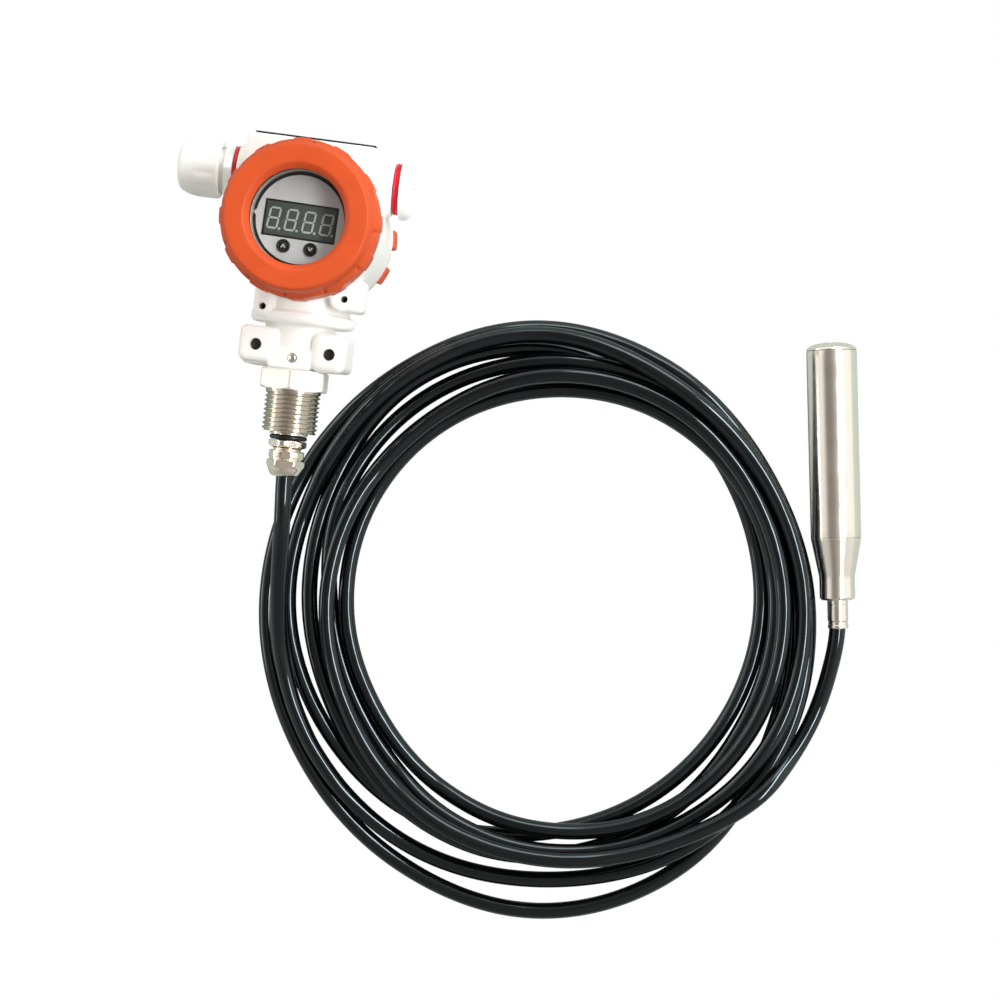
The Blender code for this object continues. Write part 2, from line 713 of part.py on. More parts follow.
def make_rear_cover(paint):
    """The closed cover that the head lies on: the same rim and skirt, and a flat face."""
    shoulder = REAR_CAP_HEIGHT - REAR_SHOULDER
    profile = spigot_profile() + [
        (CAP_RADIUS, shoulder),
        (CAP_RADIUS - 2 * CAP_EDGE, shoulder + 2 * CAP_EDGE),
        (REAR_FACE_RADIUS, REAR_CAP_HEIGHT),
        (0.0, REAR_CAP_HEIGHT),
        (0.0, REAR_CAP_HEIGHT - REAR_FLOOR),
        (SPIGOT_INNER, REAR_CAP_HEIGHT - REAR_FLOOR),
    ]
    cover = turned("rear_cover", profile, (0.0, 0.0, REAR_CAP_HEIGHT), AIM["down"], rim=(6, 7))
    dress(cover, paint)


def make_cover_seals(rubber):
    """O-rings in the covers' grooves, inside the mouths of the drum."""
    groove = SPIGOT_RADIUS - GROOVE_DEPTH
    radius = (groove + BORE_RADIUS + MOUTH_STEP) / 2
    for name, level in (
        ("front_cover_o_ring", FRONT_CAP_BASE - GROOVE_WIDTH / 2),
        ("rear_cover_o_ring", REAR_CAP_HEIGHT + GROOVE_WIDTH / 2),
    ):
        dress(torus(name, radius, COVER_RING_WIRE, (0.0, 0.0, level)), rubber)


def make_glazing(glass, steel):
    """The window behind the cover's lip and the ring that holds it from inside."""
    radius = SPIGOT_INNER - SEAT_GAP
    glass_top = FRONT_CAP_BASE + FRONT_CAP_HEIGHT - LIP_THICKNESS - SEAT_GAP
    glass_bottom = glass_top - GLASS_THICKNESS
    dress(rod("window_glass", radius, glass_bottom, glass_top), glass)
    top = glass_bottom - SEAT_GAP
    bottom = top - RETAINER_HEIGHT
    inner = radius - RETAINER_WALL
    profile = [(inner, bottom), (radius, bottom), (radius, top), (inner, top)]
    dress(turned("glass_retaining_ring", profile), steel)


def digit_bars(x, y):
    """The seven bars and the point of one digit, as low boxes leaning to the right."""
    half_width = DIGIT_WIDTH / 2
    half_height = DIGIT_HEIGHT / 2
    lean = math.tan(DIGIT_SLANT)
    half_bar = SEGMENT_WIDTH / 2
    level = half_height - half_bar
    flank = half_width - half_bar
    inner = half_width - SEGMENT_WIDTH - SEGMENT_SPACE
    upright = half_height / 2
    reach = upright - half_bar - SEGMENT_SPACE
    boxes = [(0.0, row, inner, half_bar) for row in (-level, 0.0, level)]
    boxes += [(side, row, half_bar, reach) for side in (-flank, flank) for row in (-upright, upright)]
    point = half_width + POINT_SIZE
    boxes.append((point, -level, POINT_SIZE / 2, POINT_SIZE / 2))
    outlines = []
    for cx, cy, half_x, half_y in boxes:
        corners = [(-half_x, -half_y), (half_x, -half_y), (half_x, half_y), (-half_x, half_y)]
        outlines.append([(x + cx + dx + (cy + dy) * lean, y + cy + dy) for dx, dy in corners])
    return outlines


def add_digits(face):
    """Raises the bars of all digits on the face of the display block, as one body with it."""
    low = FACEPLATE_TOP - LED_SINK
    for i in range(DIGIT_COUNT):
        x = (i - (DIGIT_COUNT - 1) / 2) * DIGIT_PITCH
        for outline in digit_bars(x, LED_OFFSET):
            join(face, prism("bar", outline, low - SEGMENT_THICKNESS, low + SEGMENT_THICKNESS))


def faceplate_outline():
    """A circle with a pointed tab at the left."""
    spread = math.asin(TAB_HALF_WIDTH / FACEPLATE_RADIUS)
    tab_angle = math.pi - math.asin(TAB_OFFSET / FACEPLATE_RADIUS)
    first = tab_angle + spread
    sweep = 2.0 * math.pi - 2.0 * spread
    angles = [first + sweep * i / 48 for i in range(49)]
    outline = [(FACEPLATE_RADIUS * math.cos(a), FACEPLATE_RADIUS * math.sin(a)) for a in angles]
    outline.append((-FACEPLATE_RADIUS - TAB_LENGTH, TAB_OFFSET))
    return outline


def make_display(plate, smoked, board, black, steel, potting):
    """Faceplate, display block, buttons and the boards that carry them."""
    plate_bottom = FACEPLATE_TOP - FACEPLATE_THICKNESS
    frame_top = plate_bottom - SEAT_GAP
    frame_bottom = frame_top - FRAME_HEIGHT
    board_top = frame_bottom - SEAT_GAP
    board_bottom = board_top - BOARD_THICKNESS
    module_bottom = PARTITION_TOP + SEAT_GAP
    module_top = module_bottom + MODULE_HEIGHT

    face = prism("display_faceplate", faceplate_outline(), plate_bottom, FACEPLATE_TOP)
    half_width = LED_WIDTH / 2
    half_height = LED_HEIGHT / 2
    window_low = (-half_width - SEAT_GAP, LED_OFFSET - half_height - SEAT_GAP, plate_bottom - SEAT_GAP)
    window_high = (half_width + SEAT_GAP, LED_OFFSET + half_height + SEAT_GAP, FACEPLATE_TOP + SEAT_GAP)
    cut(face, block("window", window_low, window_high))
    button_places = {
        "up": (-BUTTON_PITCH / 2, BUTTON_OFFSET),
        "down": (BUTTON_PITCH / 2, BUTTON_OFFSET),
    }
    hole = BUTTON_RADIUS + SEAT_GAP
    for x, y in button_places.values():
        place = (x, y, 0.0)
        cut(face, rod("hole", hole, plate_bottom - SEAT_GAP, FACEPLATE_TOP + SEAT_GAP, place, sides=20))
    dress(face, plate)

    low = (-half_width, LED_OFFSET - half_height, board_top + SEAT_GAP)
    high = (half_width, LED_OFFSET + half_height, FACEPLATE_TOP - LED_SINK)
    display = block("display_block", low, high)
    add_digits(display)
    dress(display, smoked)

    top = FACEPLATE_TOP + BUTTON_PROUD
    for side, (x, y) in button_places.items():
        button = rod(f"button_{side}", BUTTON_RADIUS, -BUTTON_LENGTH, 0.0, (x, y, top), sides=SMALL_SIDES)
        dress(button, black)
        low = FACEPLATE_TOP + SEAT_GAP
        ring = [
            (BUTTON_RADIUS + SEAT_GAP, low),
            (COLLAR_RING_RADIUS, low),
            (COLLAR_RING_RADIUS, low + COLLAR_RING_HEIGHT / 2),
            (COLLAR_RING_RADIUS - COLLAR_RING_HEIGHT / 2, low + COLLAR_RING_HEIGHT),
            (BUTTON_RADIUS + SEAT_GAP, low + COLLAR_RING_HEIGHT),
        ]
        dress(turned(f"button_collar_{side}", ring, (x, y, 0.0), sides=SMALL_SIDES), black)

    frame = [
        (FRAME_RADIUS - FRAME_WALL, frame_bottom),
        (FRAME_RADIUS, frame_bottom),
        (FRAME_RADIUS, frame_top),
        (FRAME_RADIUS - FRAME_WALL, frame_top),
    ]
    dress(turned("display_frame", frame), black)
    dress(rod("display_board", BOARD_RADIUS, board_bottom, board_top), board)
    foot = module_top + SEAT_GAP
    ring = [
        (PILLAR_CIRCLE - PILLAR_RADIUS, foot),
        (PILLAR_CIRCLE + PILLAR_RADIUS, foot),
        (PILLAR_CIRCLE + PILLAR_RADIUS, foot + SPACER_RING_HEIGHT),
        (PILLAR_CIRCLE - PILLAR_RADIUS, foot + SPACER_RING_HEIGHT),
    ]
    spacer = turned("board_spacer", ring)
    for angle in even_angles(PILLAR_COUNT):
        place = (PILLAR_CIRCLE * math.cos(angle), PILLAR_CIRCLE * math.sin(angle), 0.0)
        radius = PILLAR_RADIUS - SEAT_GAP
        join(spacer, rod("pillar", radius, foot + SPACER_RING_HEIGHT / 2, board_bottom - SEAT_GAP, place,
                         sides=TINY_SIDES))
    dress(spacer, steel)
    dress(rod("electronics_module", MODULE_RADIUS, module_bottom, module_top), potting)


def make_terminals(black, steel):
    """The terminal block under the partition, with its screws facing the rear cover."""
    top = PARTITION_BOTTOM - SEAT_GAP
    bottom = top - TERMINAL_HEIGHT
    low = (-TERMINAL_WIDTH / 2, -TERMINAL_LENGTH / 2, bottom)
    high = (TERMINAL_WIDTH / 2, TERMINAL_LENGTH / 2, top)
    dress(block("terminal_block", low, high), black)
    screw_top = bottom - SEAT_GAP
    for i in range(TERMINAL_COUNT):
        place = ((i - (TERMINAL_COUNT - 1) / 2) * TERMINAL_PITCH, 0.0, 0.0)
        name = f"terminal_screw_{i + 1}"
        screw_bottom = screw_top - TERMINAL_SCREW_HEIGHT
        dress(rod(name, TERMINAL_SCREW_RADIUS, screw_bottom, screw_top, place, sides=TINY_SIDES), steel)


def make_nameplate(plate, steel):
    """The blank plate on the roof and its two rivets."""
    bottom = ROOF_REACH + SEAT_GAP
    top = bottom + PLATE_THICKNESS
    low = (-PLATE_WIDTH / 2, bottom, AXIS_LEVEL - PLATE_DEPTH / 2)
    high = (PLATE_WIDTH / 2, top, AXIS_LEVEL + PLATE_DEPTH / 2)
    dress(block("nameplate", low, high), plate)
    head = [(0.0, 0.0), (RIVET_RADIUS, 0.0), (RIVET_RADIUS * 0.7, RIVET_HEIGHT), (0.0, RIVET_HEIGHT)]
    away = (-math.pi / 2, 0.0, 0.0)
    for name, side in (("nameplate_rivet_left", -1.0), ("nameplate_rivet_right", 1.0)):
        place = (side * (PLATE_WIDTH / 2 - RIVET_INSET), top + SEAT_GAP, AXIS_LEVEL)
        dress(turned(name, head, place, away, TINY_SIDES), steel)


def make_side_gland(nylon, rubber, red):
    """The nylon gland in the left conduit, with a closed insert in place of a cable."""
    seat = BLOCK_HALF_WIDTH + SEAT_GAP
    washer_end = seat + SIDE_WASHER_THICKNESS
    washer = [
        (WASHER_BORE, seat),
        (SIDE_WASHER_RADIUS, seat),
        (SIDE_WASHER_RADIUS, washer_end),
        (WASHER_BORE, washer_end),
    ]
    dress(turned("side_gland_washer", washer, CONDUIT_AXIS, AIM["left"]), red)

    flange = washer_end + SEAT_GAP
    flange_end = flange + SIDE_FLANGE_THICKNESS
    collet_end = flange_end + SIDE_NUT_GAP + COLLET_LENGTH
    body = [
        (SIDE_BORE, CONDUIT_THREAD_END),
        (CONDUIT_THREAD_RADIUS, CONDUIT_THREAD_END),
        (CONDUIT_THREAD_RADIUS, flange + SIDE_FLANGE_THICKNESS / 4),
        (COLLET_RADIUS, flange + SIDE_FLANGE_THICKNESS / 4),
        (COLLET_RADIUS, collet_end - CAP_EDGE),
        (COLLET_RADIUS - CAP_EDGE, collet_end),
        (SIDE_BORE, collet_end),
    ]
    gland = turned("side_gland_body", body, CONDUIT_AXIS, AIM["left"], 24)
    hex_ring = prism("hex_ring", hexagon(SIDE_FLANGE_RADIUS * math.sqrt(3.0)), flange, flange_end, CONDUIT_AXIS,
                     AIM["left"])
    soften(hex_ring, CAP_EDGE / 2, 1)
    cut(hex_ring, rod("bore", SIDE_BORE + CAP_EDGE, flange - CAP_EDGE, flange_end + CAP_EDGE, CONDUIT_AXIS,
                      AIM["left"], 24))
    join(gland, hex_ring)
    dress(gland, nylon)

    start = flange_end + SIDE_NUT_GAP
    end = start + SIDE_NUT_LENGTH
    thread = COLLET_RADIUS + THREAD_GAP
    nut = [
        (thread, start),
        (SIDE_NUT_RADIUS - CAP_EDGE, start),
        (SIDE_NUT_RADIUS, start + CAP_EDGE),
        (SIDE_NUT_RADIUS, end - 0.50 * SIDE_NUT_LENGTH),
        (SIDE_NUT_RADIUS * 0.93, end - 0.28 * SIDE_NUT_LENGTH),
        (SIDE_NUT_RADIUS * 0.82, end - 0.10 * SIDE_NUT_LENGTH),
        (SIDE_NUT_END_RADIUS, end),
        (SIDE_NUT_MOUTH, end),
        (SIDE_NUT_MOUTH, collet_end + SEAT_GAP + CAP_EDGE),
        (thread, collet_end + SEAT_GAP),
    ]
    dress(turned("side_gland_nut", nut, CONDUIT_AXIS, AIM["left"], 24), nylon)
    insert_end = end - CAP_EDGE
    insert_start = insert_end - INSERT_LENGTH
    radius = SIDE_BORE - THREAD_GAP
    insert = rod("side_gland_insert", radius, insert_start, insert_end, CONDUIT_AXIS, AIM["left"], SMALL_SIDES)
    dress(insert, rubber)


def make_blanking_plug(nylon, red):
    """The mushroom plug in the right conduit and its washer with two ridges."""
    seat = BLOCK_HALF_WIDTH + SEAT_GAP
    washer_end = seat + PLUG_WASHER_THICKNESS
    ridge = PLUG_WASHER_THICKNESS / 6
    valley = PLUG_WASHER_RADIUS - ridge
    washer = [
        (WASHER_BORE, seat),
        (valley, seat),
        (PLUG_WASHER_RADIUS, seat + ridge),
        (PLUG_WASHER_RADIUS, seat + 2 * ridge),
        (valley, seat + 3 * ridge),
        (PLUG_WASHER_RADIUS, seat + 4 * ridge),
        (PLUG_WASHER_RADIUS, seat + 5 * ridge),
        (valley, washer_end),
        (WASHER_BORE, washer_end),
    ]
    dress(turned("blanking_plug_washer", washer, CONDUIT_AXIS, AIM["right"], 24), red)

    head = washer_end + SEAT_GAP
    top = head + PLUG_HEAD_HEIGHT
    profile = [
        (0.0, CONDUIT_THREAD_END),
        (CONDUIT_THREAD_RADIUS, CONDUIT_THREAD_END),
        (CONDUIT_THREAD_RADIUS, head),
        (PLUG_HEAD_RADIUS - CAP_EDGE, head),
        (PLUG_HEAD_RADIUS, head + CAP_EDGE),
        (PLUG_HEAD_RADIUS, head + 0.40 * PLUG_HEAD_HEIGHT),
        (PLUG_HEAD_RADIUS * 0.96, head + 0.70 * PLUG_HEAD_HEIGHT),
        (PLUG_HEAD_RADIUS * 0.84, head + 0.92 * PLUG_HEAD_HEIGHT),
        (PLUG_HEAD_RADIUS * 0.66, top),
        (0.0, top),
    ]
    plug = turned("blanking_plug", profile, CONDUIT_AXIS, AIM["right"], 24)
    low = (-PLUG_SLOT_WIDTH / 2, -PLUG_SLOT_LENGTH / 2, top - PLUG_SLOT_DEPTH)
    high = (PLUG_SLOT_WIDTH / 2, PLUG_SLOT_LENGTH / 2, top + PLUG_SLOT_DEPTH)
    cut(plug, block("slot", low, high, CONDUIT_AXIS, AIM["right"]))
    dress(plug, nylon)


def make_set_screw(steel):
    """The screw that locks the connector, down in the bracket block."""
    bottom = AXIS_LEVEL + CONNECTOR_SPIGOT_RADIUS + SEAT_GAP
    place = (0.0, -NECK_END + SET_SCREW_BACK, 0.0)
    screw = rod("neck_set_screw", SET_SCREW_RADIUS, bottom, bottom + SET_SCREW_LENGTH, place, sides=TINY_SIDES)
    socket = prism("socket", hexagon(SET_SCREW_SOCKET * math.sqrt(3.0)), bottom + SET_SCREW_LENGTH / 2,
                   bottom + 2 * SET_SCREW_LENGTH, place)
    cut(screw, socket)
    dress(screw, steel)


HEX_START = NECK_END + SEAT_GAP
HEX_END = HEX_START + HEX_LENGTH
THREAD_START = HEX_END + THREAD_RELIEF
THREAD_END = THREAD_START + THREAD_TURNS * THREAD_PITCH
CONNECTOR_END = THREAD_END + STEP_LENGTH
GLAND_HEX_START = CONNECTOR_END + 2 * SEAL_WIRE + 2 * SEAT_GAP
GLAND_HEX_END = GLAND_HEX_START + GLAND_HEX_LENGTH
GLAND_NECK_END = GLAND_HEX_END + GLAND_NECK_LENGTH
GLAND_TOP_END = GLAND_NECK_END + GLAND_TOP_LENGTH
GLAND_NUT_START = GLAND_NECK_END + SEAT_GAP
GLAND_NUT_END = GLAND_NUT_START + GLAND_NUT_LENGTH
GROMMET_START = GLAND_TOP_END + SEAT_GAP
GROMMET_END = GROMMET_START + GROMMET_LENGTH


def make_process_connector(steel):
    """Spigot, hexagon, thread drawn as ridges, and a plain end with the gland's socket."""
    socket_radius = GLAND_THREAD_RADIUS + THREAD_GAP
    root = THREAD_RADIUS - THREAD_DEPTH
    profile = [
        (CONNECTOR_BORE, NECK_END - CONNECTOR_SPIGOT_LENGTH),
        (CONNECTOR_SPIGOT_RADIUS, NECK_END - CONNECTOR_SPIGOT_LENGTH),
        (CONNECTOR_SPIGOT_RADIUS, HEX_END - HEX_LENGTH / 2),
        (THREAD_RADIUS, HEX_END - HEX_LENGTH / 2),
        (THREAD_RADIUS, HEX_END + THREAD_RELIEF / 2),
        (root, THREAD_START),
    ]
    for i in range(THREAD_TURNS):
        start = THREAD_START + i * THREAD_PITCH
        profile.append((THREAD_RADIUS, start + THREAD_PITCH / 2))
        if i < THREAD_TURNS - 1:
            profile.append((root, start + THREAD_PITCH))
    profile += [
        (STEP_RADIUS, THREAD_END),
        (STEP_RADIUS, CONNECTOR_END),
        (socket_radius, CONNECTOR_END),
        (socket_radius, CONNECTOR_END - GLAND_SOCKET_DEPTH),
        (CONNECTOR_BORE, CONNECTOR_END - GLAND_SOCKET_DEPTH),
    ]
    connector = turned("process_connector", profile, NECK_AXIS, AIM["neck"], 24)
    nut = prism("hex", hexagon(HEX_FLATS), HEX_START, HEX_END, NECK_AXIS, AIM["neck"])
    rise = HEX_CORNER_CUT * math.tan(math.radians(30.0))
    corner = HEX_FLATS / math.sqrt(3.0)
    trim = turned(
        "trim",
        [
            (0.0, HEX_START - rise),
            (corner - 2 * HEX_CORNER_CUT, HEX_START - rise),
            (corner + HEX_CORNER_CUT, HEX_START + 2 * rise),
            (corner + HEX_CORNER_CUT, HEX_END - 2 * rise),
            (corner - 2 * HEX_CORNER_CUT, HEX_END + rise),
            (0.0, HEX_END + rise),
        ],
        NECK_AXIS,
        AIM["neck"],
        34,
    )
    combine(nut, [trim], "INTERSECT")
    bore = CONNECTOR_BORE + CAP_EDGE
    cut(nut, rod("bore", bore, HEX_START - rise, HEX_END + rise, NECK_AXIS, AIM["neck"], 18))
    join(connector, nut)
    dress(connector, steel)


def make_cable_gland(nickel, rubber):
    """Seal, body, rubber grommet and domed nut, all round the cable."""
    seal_reach = CONNECTOR_END + SEAT_GAP + SEAL_WIRE
    seal_place = (0.0, -seal_reach, AXIS_LEVEL)
    dress(torus("gland_o_ring", SEAL_RADIUS, SEAL_WIRE, seal_place, AIM["neck"], SMALL_SIDES), rubber)

    body = [
        (GLAND_BORE, CONNECTOR_END - GLAND_SOCKET_DEPTH + SEAT_GAP),
        (GLAND_THREAD_RADIUS, CONNECTOR_END - GLAND_SOCKET_DEPTH + SEAT_GAP),
        (GLAND_THREAD_RADIUS, GLAND_HEX_START + GLAND_HEX_LENGTH / 2),
        (GLAND_NECK_RADIUS, GLAND_HEX_START + GLAND_HEX_LENGTH / 2),
        (GLAND_NECK_RADIUS, GLAND_NECK_END),
        (GLAND_TOP_RADIUS, GLAND_NECK_END),
        (GLAND_TOP_RADIUS, GLAND_TOP_END),
        (GLAND_BORE, GLAND_TOP_END),
    ]
    gland = turned("gland_body", body, NECK_AXIS, AIM["neck"], SMALL_SIDES)
    flats = prism("flats", hexagon(GLAND_HEX_FLATS), GLAND_HEX_START, GLAND_HEX_END, NECK_AXIS, AIM["neck"])
    soften(flats, CAP_EDGE / 2, 1)
    bore = GLAND_BORE + THREAD_GAP
    low = GLAND_HEX_START - CAP_EDGE
    high = GLAND_HEX_END + CAP_EDGE
    cut(flats, rod("bore", bore, low, high, NECK_AXIS, AIM["neck"], SMALL_SIDES))
    join(gland, flats)
    dress(gland, nickel)

    grommet_bore = CABLE_RADIUS + CABLE_FIT
    grommet = [
        (grommet_bore, GROMMET_START),
        (GROMMET_RADIUS, GROMMET_START),
        (GROMMET_RADIUS, GROMMET_END),
        (grommet_bore, GROMMET_END),
    ]
    dress(turned("gland_grommet", grommet, NECK_AXIS, AIM["neck"], SMALL_SIDES), rubber)

    flat_end = GLAND_NUT_START + GLAND_NUT_HEX_LENGTH
    dome = GLAND_NUT_FLATS / 2
    outside = [
        (0.0, flat_end - CAP_EDGE),
        (dome, flat_end - CAP_EDGE),
        (dome * 1.04, flat_end + 0.22 * GLAND_NUT_LENGTH),
        (dome * 0.94, GLAND_NUT_END - 0.16 * GLAND_NUT_LENGTH),
        (dome * 0.72, GLAND_NUT_END),
        (0.0, GLAND_NUT_END),
    ]
    nut = turned("gland_nut", outside, NECK_AXIS, AIM["neck"], SMALL_SIDES)
    hex_part = prism("hex_part", hexagon(GLAND_NUT_FLATS), GLAND_NUT_START, flat_end, NECK_AXIS, AIM["neck"])
    soften(hex_part, CAP_EDGE / 2, 1)
    join(nut, hex_part)
    start = GLAND_NUT_START - CAP_EDGE
    thread = rod("thread", GLAND_TOP_RADIUS + THREAD_GAP, start, GLAND_NUT_END - GLAND_NUT_LIP, NECK_AXIS,
                 AIM["neck"], SMALL_SIDES)
    end = GLAND_NUT_END + CAP_EDGE
    mouth = rod("mouth", GLAND_NUT_MOUTH, end - 2 * GLAND_NUT_LIP, end, NECK_AXIS, AIM["neck"], SMALL_SIDES)
    cut(nut, thread, mouth)
    dress(nut, nickel)


def probe_frame():
    """The probe's tip, the direction from tip to cable, and the turn that lays pieces along it."""
    heading = Vector((math.cos(PROBE_HEADING), math.sin(PROBE_HEADING), 0.0))
    place = Vector((PROBE_TIP[0], PROBE_TIP[1], PROBE_RADIUS))
    turn = Vector((0.0, 0.0, 1.0)).rotation_difference(heading).to_euler()
    return place, heading, turn


def make_probe(steel, rubber, board):
    """Nose with inlet holes, sensor capsule, tube, tail and the crimped sleeve on the cable."""
    place, _, turn = probe_frame()
    bore = PROBE_RADIUS - PROBE_WALL
    spigot = bore - SEAT_GAP
    nose_end = NOSE_RIM + NOSE_SPIGOT
    nose = [
        (0.0, 0.0),
        (PROBE_RADIUS - NOSE_ROUND, 0.0),
        (PROBE_RADIUS - 0.3 * NOSE_ROUND, 0.3 * NOSE_ROUND),
        (PROBE_RADIUS, NOSE_ROUND),
        (PROBE_RADIUS, NOSE_RIM),
        (spigot, NOSE_RIM),
        (spigot, nose_end),
        (spigot - NOSE_WALL, nose_end),
        (spigot - NOSE_WALL, NOSE_FLOOR),
        (0.0, NOSE_FLOOR),
    ]
    nose_piece = turned("probe_nose", nose, place, turn, 28)
    for angle in even_angles(NOSE_HOLE_COUNT):
        angle += NOSE_HOLE_PHASE
        offset = Vector((NOSE_HOLE_CIRCLE * math.cos(angle), NOSE_HOLE_CIRCLE * math.sin(angle), 0.0))
        offset.rotate(turn)
        cut(nose_piece, rod("inlet", NOSE_HOLE_RADIUS, -NOSE_RIM, NOSE_FLOOR + NOSE_RIM, place + offset, turn,
                            TINY_SIDES))
    dress(nose_piece, steel)

    start = nose_end + SEAT_GAP
    groove_start = start + CAPSULE_GROOVE_START
    groove_end = groove_start + CAPSULE_GROOVE_WIDTH
    capsule_end = start + CAPSULE_LENGTH
    groove = spigot - CAPSULE_GROOVE_DEPTH
    capsule = [
        (0.0, start),
        (spigot, start),
        (spigot, groove_start),
        (groove, groove_start),
        (groove, groove_end),
        (spigot, groove_end),
        (spigot, capsule_end),
        (0.0, capsule_end),
    ]
    dress(turned("sensor_capsule", capsule, place, turn, 28), steel)
    ring_place = place + probe_frame()[1] * (groove_start + groove_end) / 2
    dress(torus("sensor_o_ring", (groove + bore) / 2, CAPSULE_RING_WIRE, ring_place, turn, 30), rubber)

    tube_start = NOSE_RIM + SEAT_GAP
    tube = [(bore, tube_start), (PROBE_RADIUS, tube_start), (PROBE_RADIUS, TUBE_END), (bore, TUBE_END)]
    dress(turned("probe_tube", tube, place, turn, 28), steel)

    tail_start = TUBE_END + SEAT_GAP
    spigot_end = TUBE_END - TAIL_SPIGOT
    taper_end = tail_start + TAPER_LENGTH
    socket = SLEEVE_RADIUS + SEAT_GAP
    tail = [
        (TAIL_WIRE_WAY, spigot_end),
        (spigot, spigot_end),
        (spigot, tail_start),
        (PROBE_RADIUS, tail_start),
        (TAIL_RADIUS, taper_end),
        (TAIL_RADIUS, TAIL_END - CAP_EDGE),
        (TAIL_RADIUS - CAP_EDGE, TAIL_END),
        (socket, TAIL_END),
        (socket, TAIL_END - TAIL_SOCKET_DEPTH),
        (TAIL_WIRE_WAY, TAIL_END - TAIL_SOCKET_DEPTH),
    ]
    dress(turned("probe_tail", tail, place, turn, 28), steel)

    sleeve_start = TAIL_END - SLEEVE_DEPTH
    crimp = SLEEVE_RADIUS - SLEEVE_CRIMP
    sleeve = [
        (SLEEVE_BORE, sleeve_start),
        (SLEEVE_RADIUS, sleeve_start),
        (SLEEVE_RADIUS, SLEEVE_END - 4 * CAP_EDGE),
        (crimp, SLEEVE_END - 3 * CAP_EDGE),
        (crimp, SLEEVE_END - 2 * CAP_EDGE),
        (SLEEVE_RADIUS, SLEEVE_END - CAP_EDGE),
        (SLEEVE_RADIUS, SLEEVE_END),
        (SLEEVE_BORE, SLEEVE_END),
    ]
    dress(turned("probe_sleeve", sleeve, place, turn, SMALL_SIDES), steel)
    bush_end = sleeve_start - SEAT_GAP
    bush = [
        (BUSH_BORE, bush_end - BUSH_LENGTH),
        (SLEEVE_RADIUS, bush_end - BUSH_LENGTH),
        (SLEEVE_RADIUS, bush_end),
        (BUSH_BORE, bush_end),
    ]
    dress(turned("probe_cable_bush", bush, place, turn, SMALL_SIDES), rubber)

    half_width = PROBE_BOARD_WIDTH / 2
    low = (-half_width, -BOARD_THICKNESS / 2, capsule_end + SEAT_GAP)
    high = (half_width, BOARD_THICKNESS / 2, spigot_end - SEAT_GAP)
    dress(block("probe_circuit_board", low, high, place, turn), board)


def turn_radius(position):
    """The centre line's radius at a position counted in steps from the coil's start."""
    radii = [radius for row in TURN_RADII for radius in row]
    index = min(int(position), len(radii) - 2)
    share = position - index
    return radii[index] * (1.0 - share) + radii[index + 1] * share


def make_coil(jacket):
    """One ring that follows the innermost and the outermost turn all the way round."""
    steps_per_turn = len(TURN_RADII[0])
    total = sum(len(row) for row in TURN_RADII) - 1
    inner = []
    outer = []
    for i in range(COIL_SIDES):
        angle = COIL_START + 2.0 * math.pi * i / COIL_SIDES
        position = steps_per_turn * i / COIL_SIDES
        radii = []
        while position <= total:
            if position >= 1.0:
                radii.append(turn_radius(position))
            position += steps_per_turn
        direction = Vector((math.cos(angle), math.sin(angle)))
        centre = Vector(COIL_CENTRE)
        inner.append(centre + direction * (min(radii) - CABLE_RADIUS))
        outer.append(centre + direction * (max(radii) + CABLE_RADIUS))
    bm = bmesh.new()
    loops = [
        [bm.verts.new((p.x, p.y, level)) for p in ring]
        for ring, level in ((inner, 0.0), (outer, 0.0), (outer, COIL_HEIGHT), (inner, COIL_HEIGHT))
    ]
    for first, second in zip(loops, loops[1:] + loops[:1]):
        for i in range(COIL_SIDES):
            j = (i + 1) % COIL_SIDES
            bm.faces.new((first[i], first[j], second[j], second[i]))
    dress(object_from("cable_coil", bm), jacket)


def make_cable(jacket):
    """The lead from the gland, the coil, and the tail that goes into the probe's sleeve."""
    entry = GROMMET_START + SEAT_GAP
    lead = [(0.0, -entry, AXIS_LEVEL), (0.0, -GLAND_NUT_END, AXIS_LEVEL)]
    lead.append((0.0, -GLAND_NUT_END - 2 * CABLE_RADIUS, AXIS_LEVEL))
    cable_tube("cable_lead", lead + list(LEAD_ROUTE), jacket)
    make_coil(jacket)
    place, heading, _ = probe_frame()
    inside = place + heading * (TAIL_END - SLEEVE_DEPTH + SEAT_GAP)
    exit_point = place + heading * SLEEVE_END
    cable_tube("cable_tail", [inside, exit_point] + list(TAIL_ROUTE), jacket)


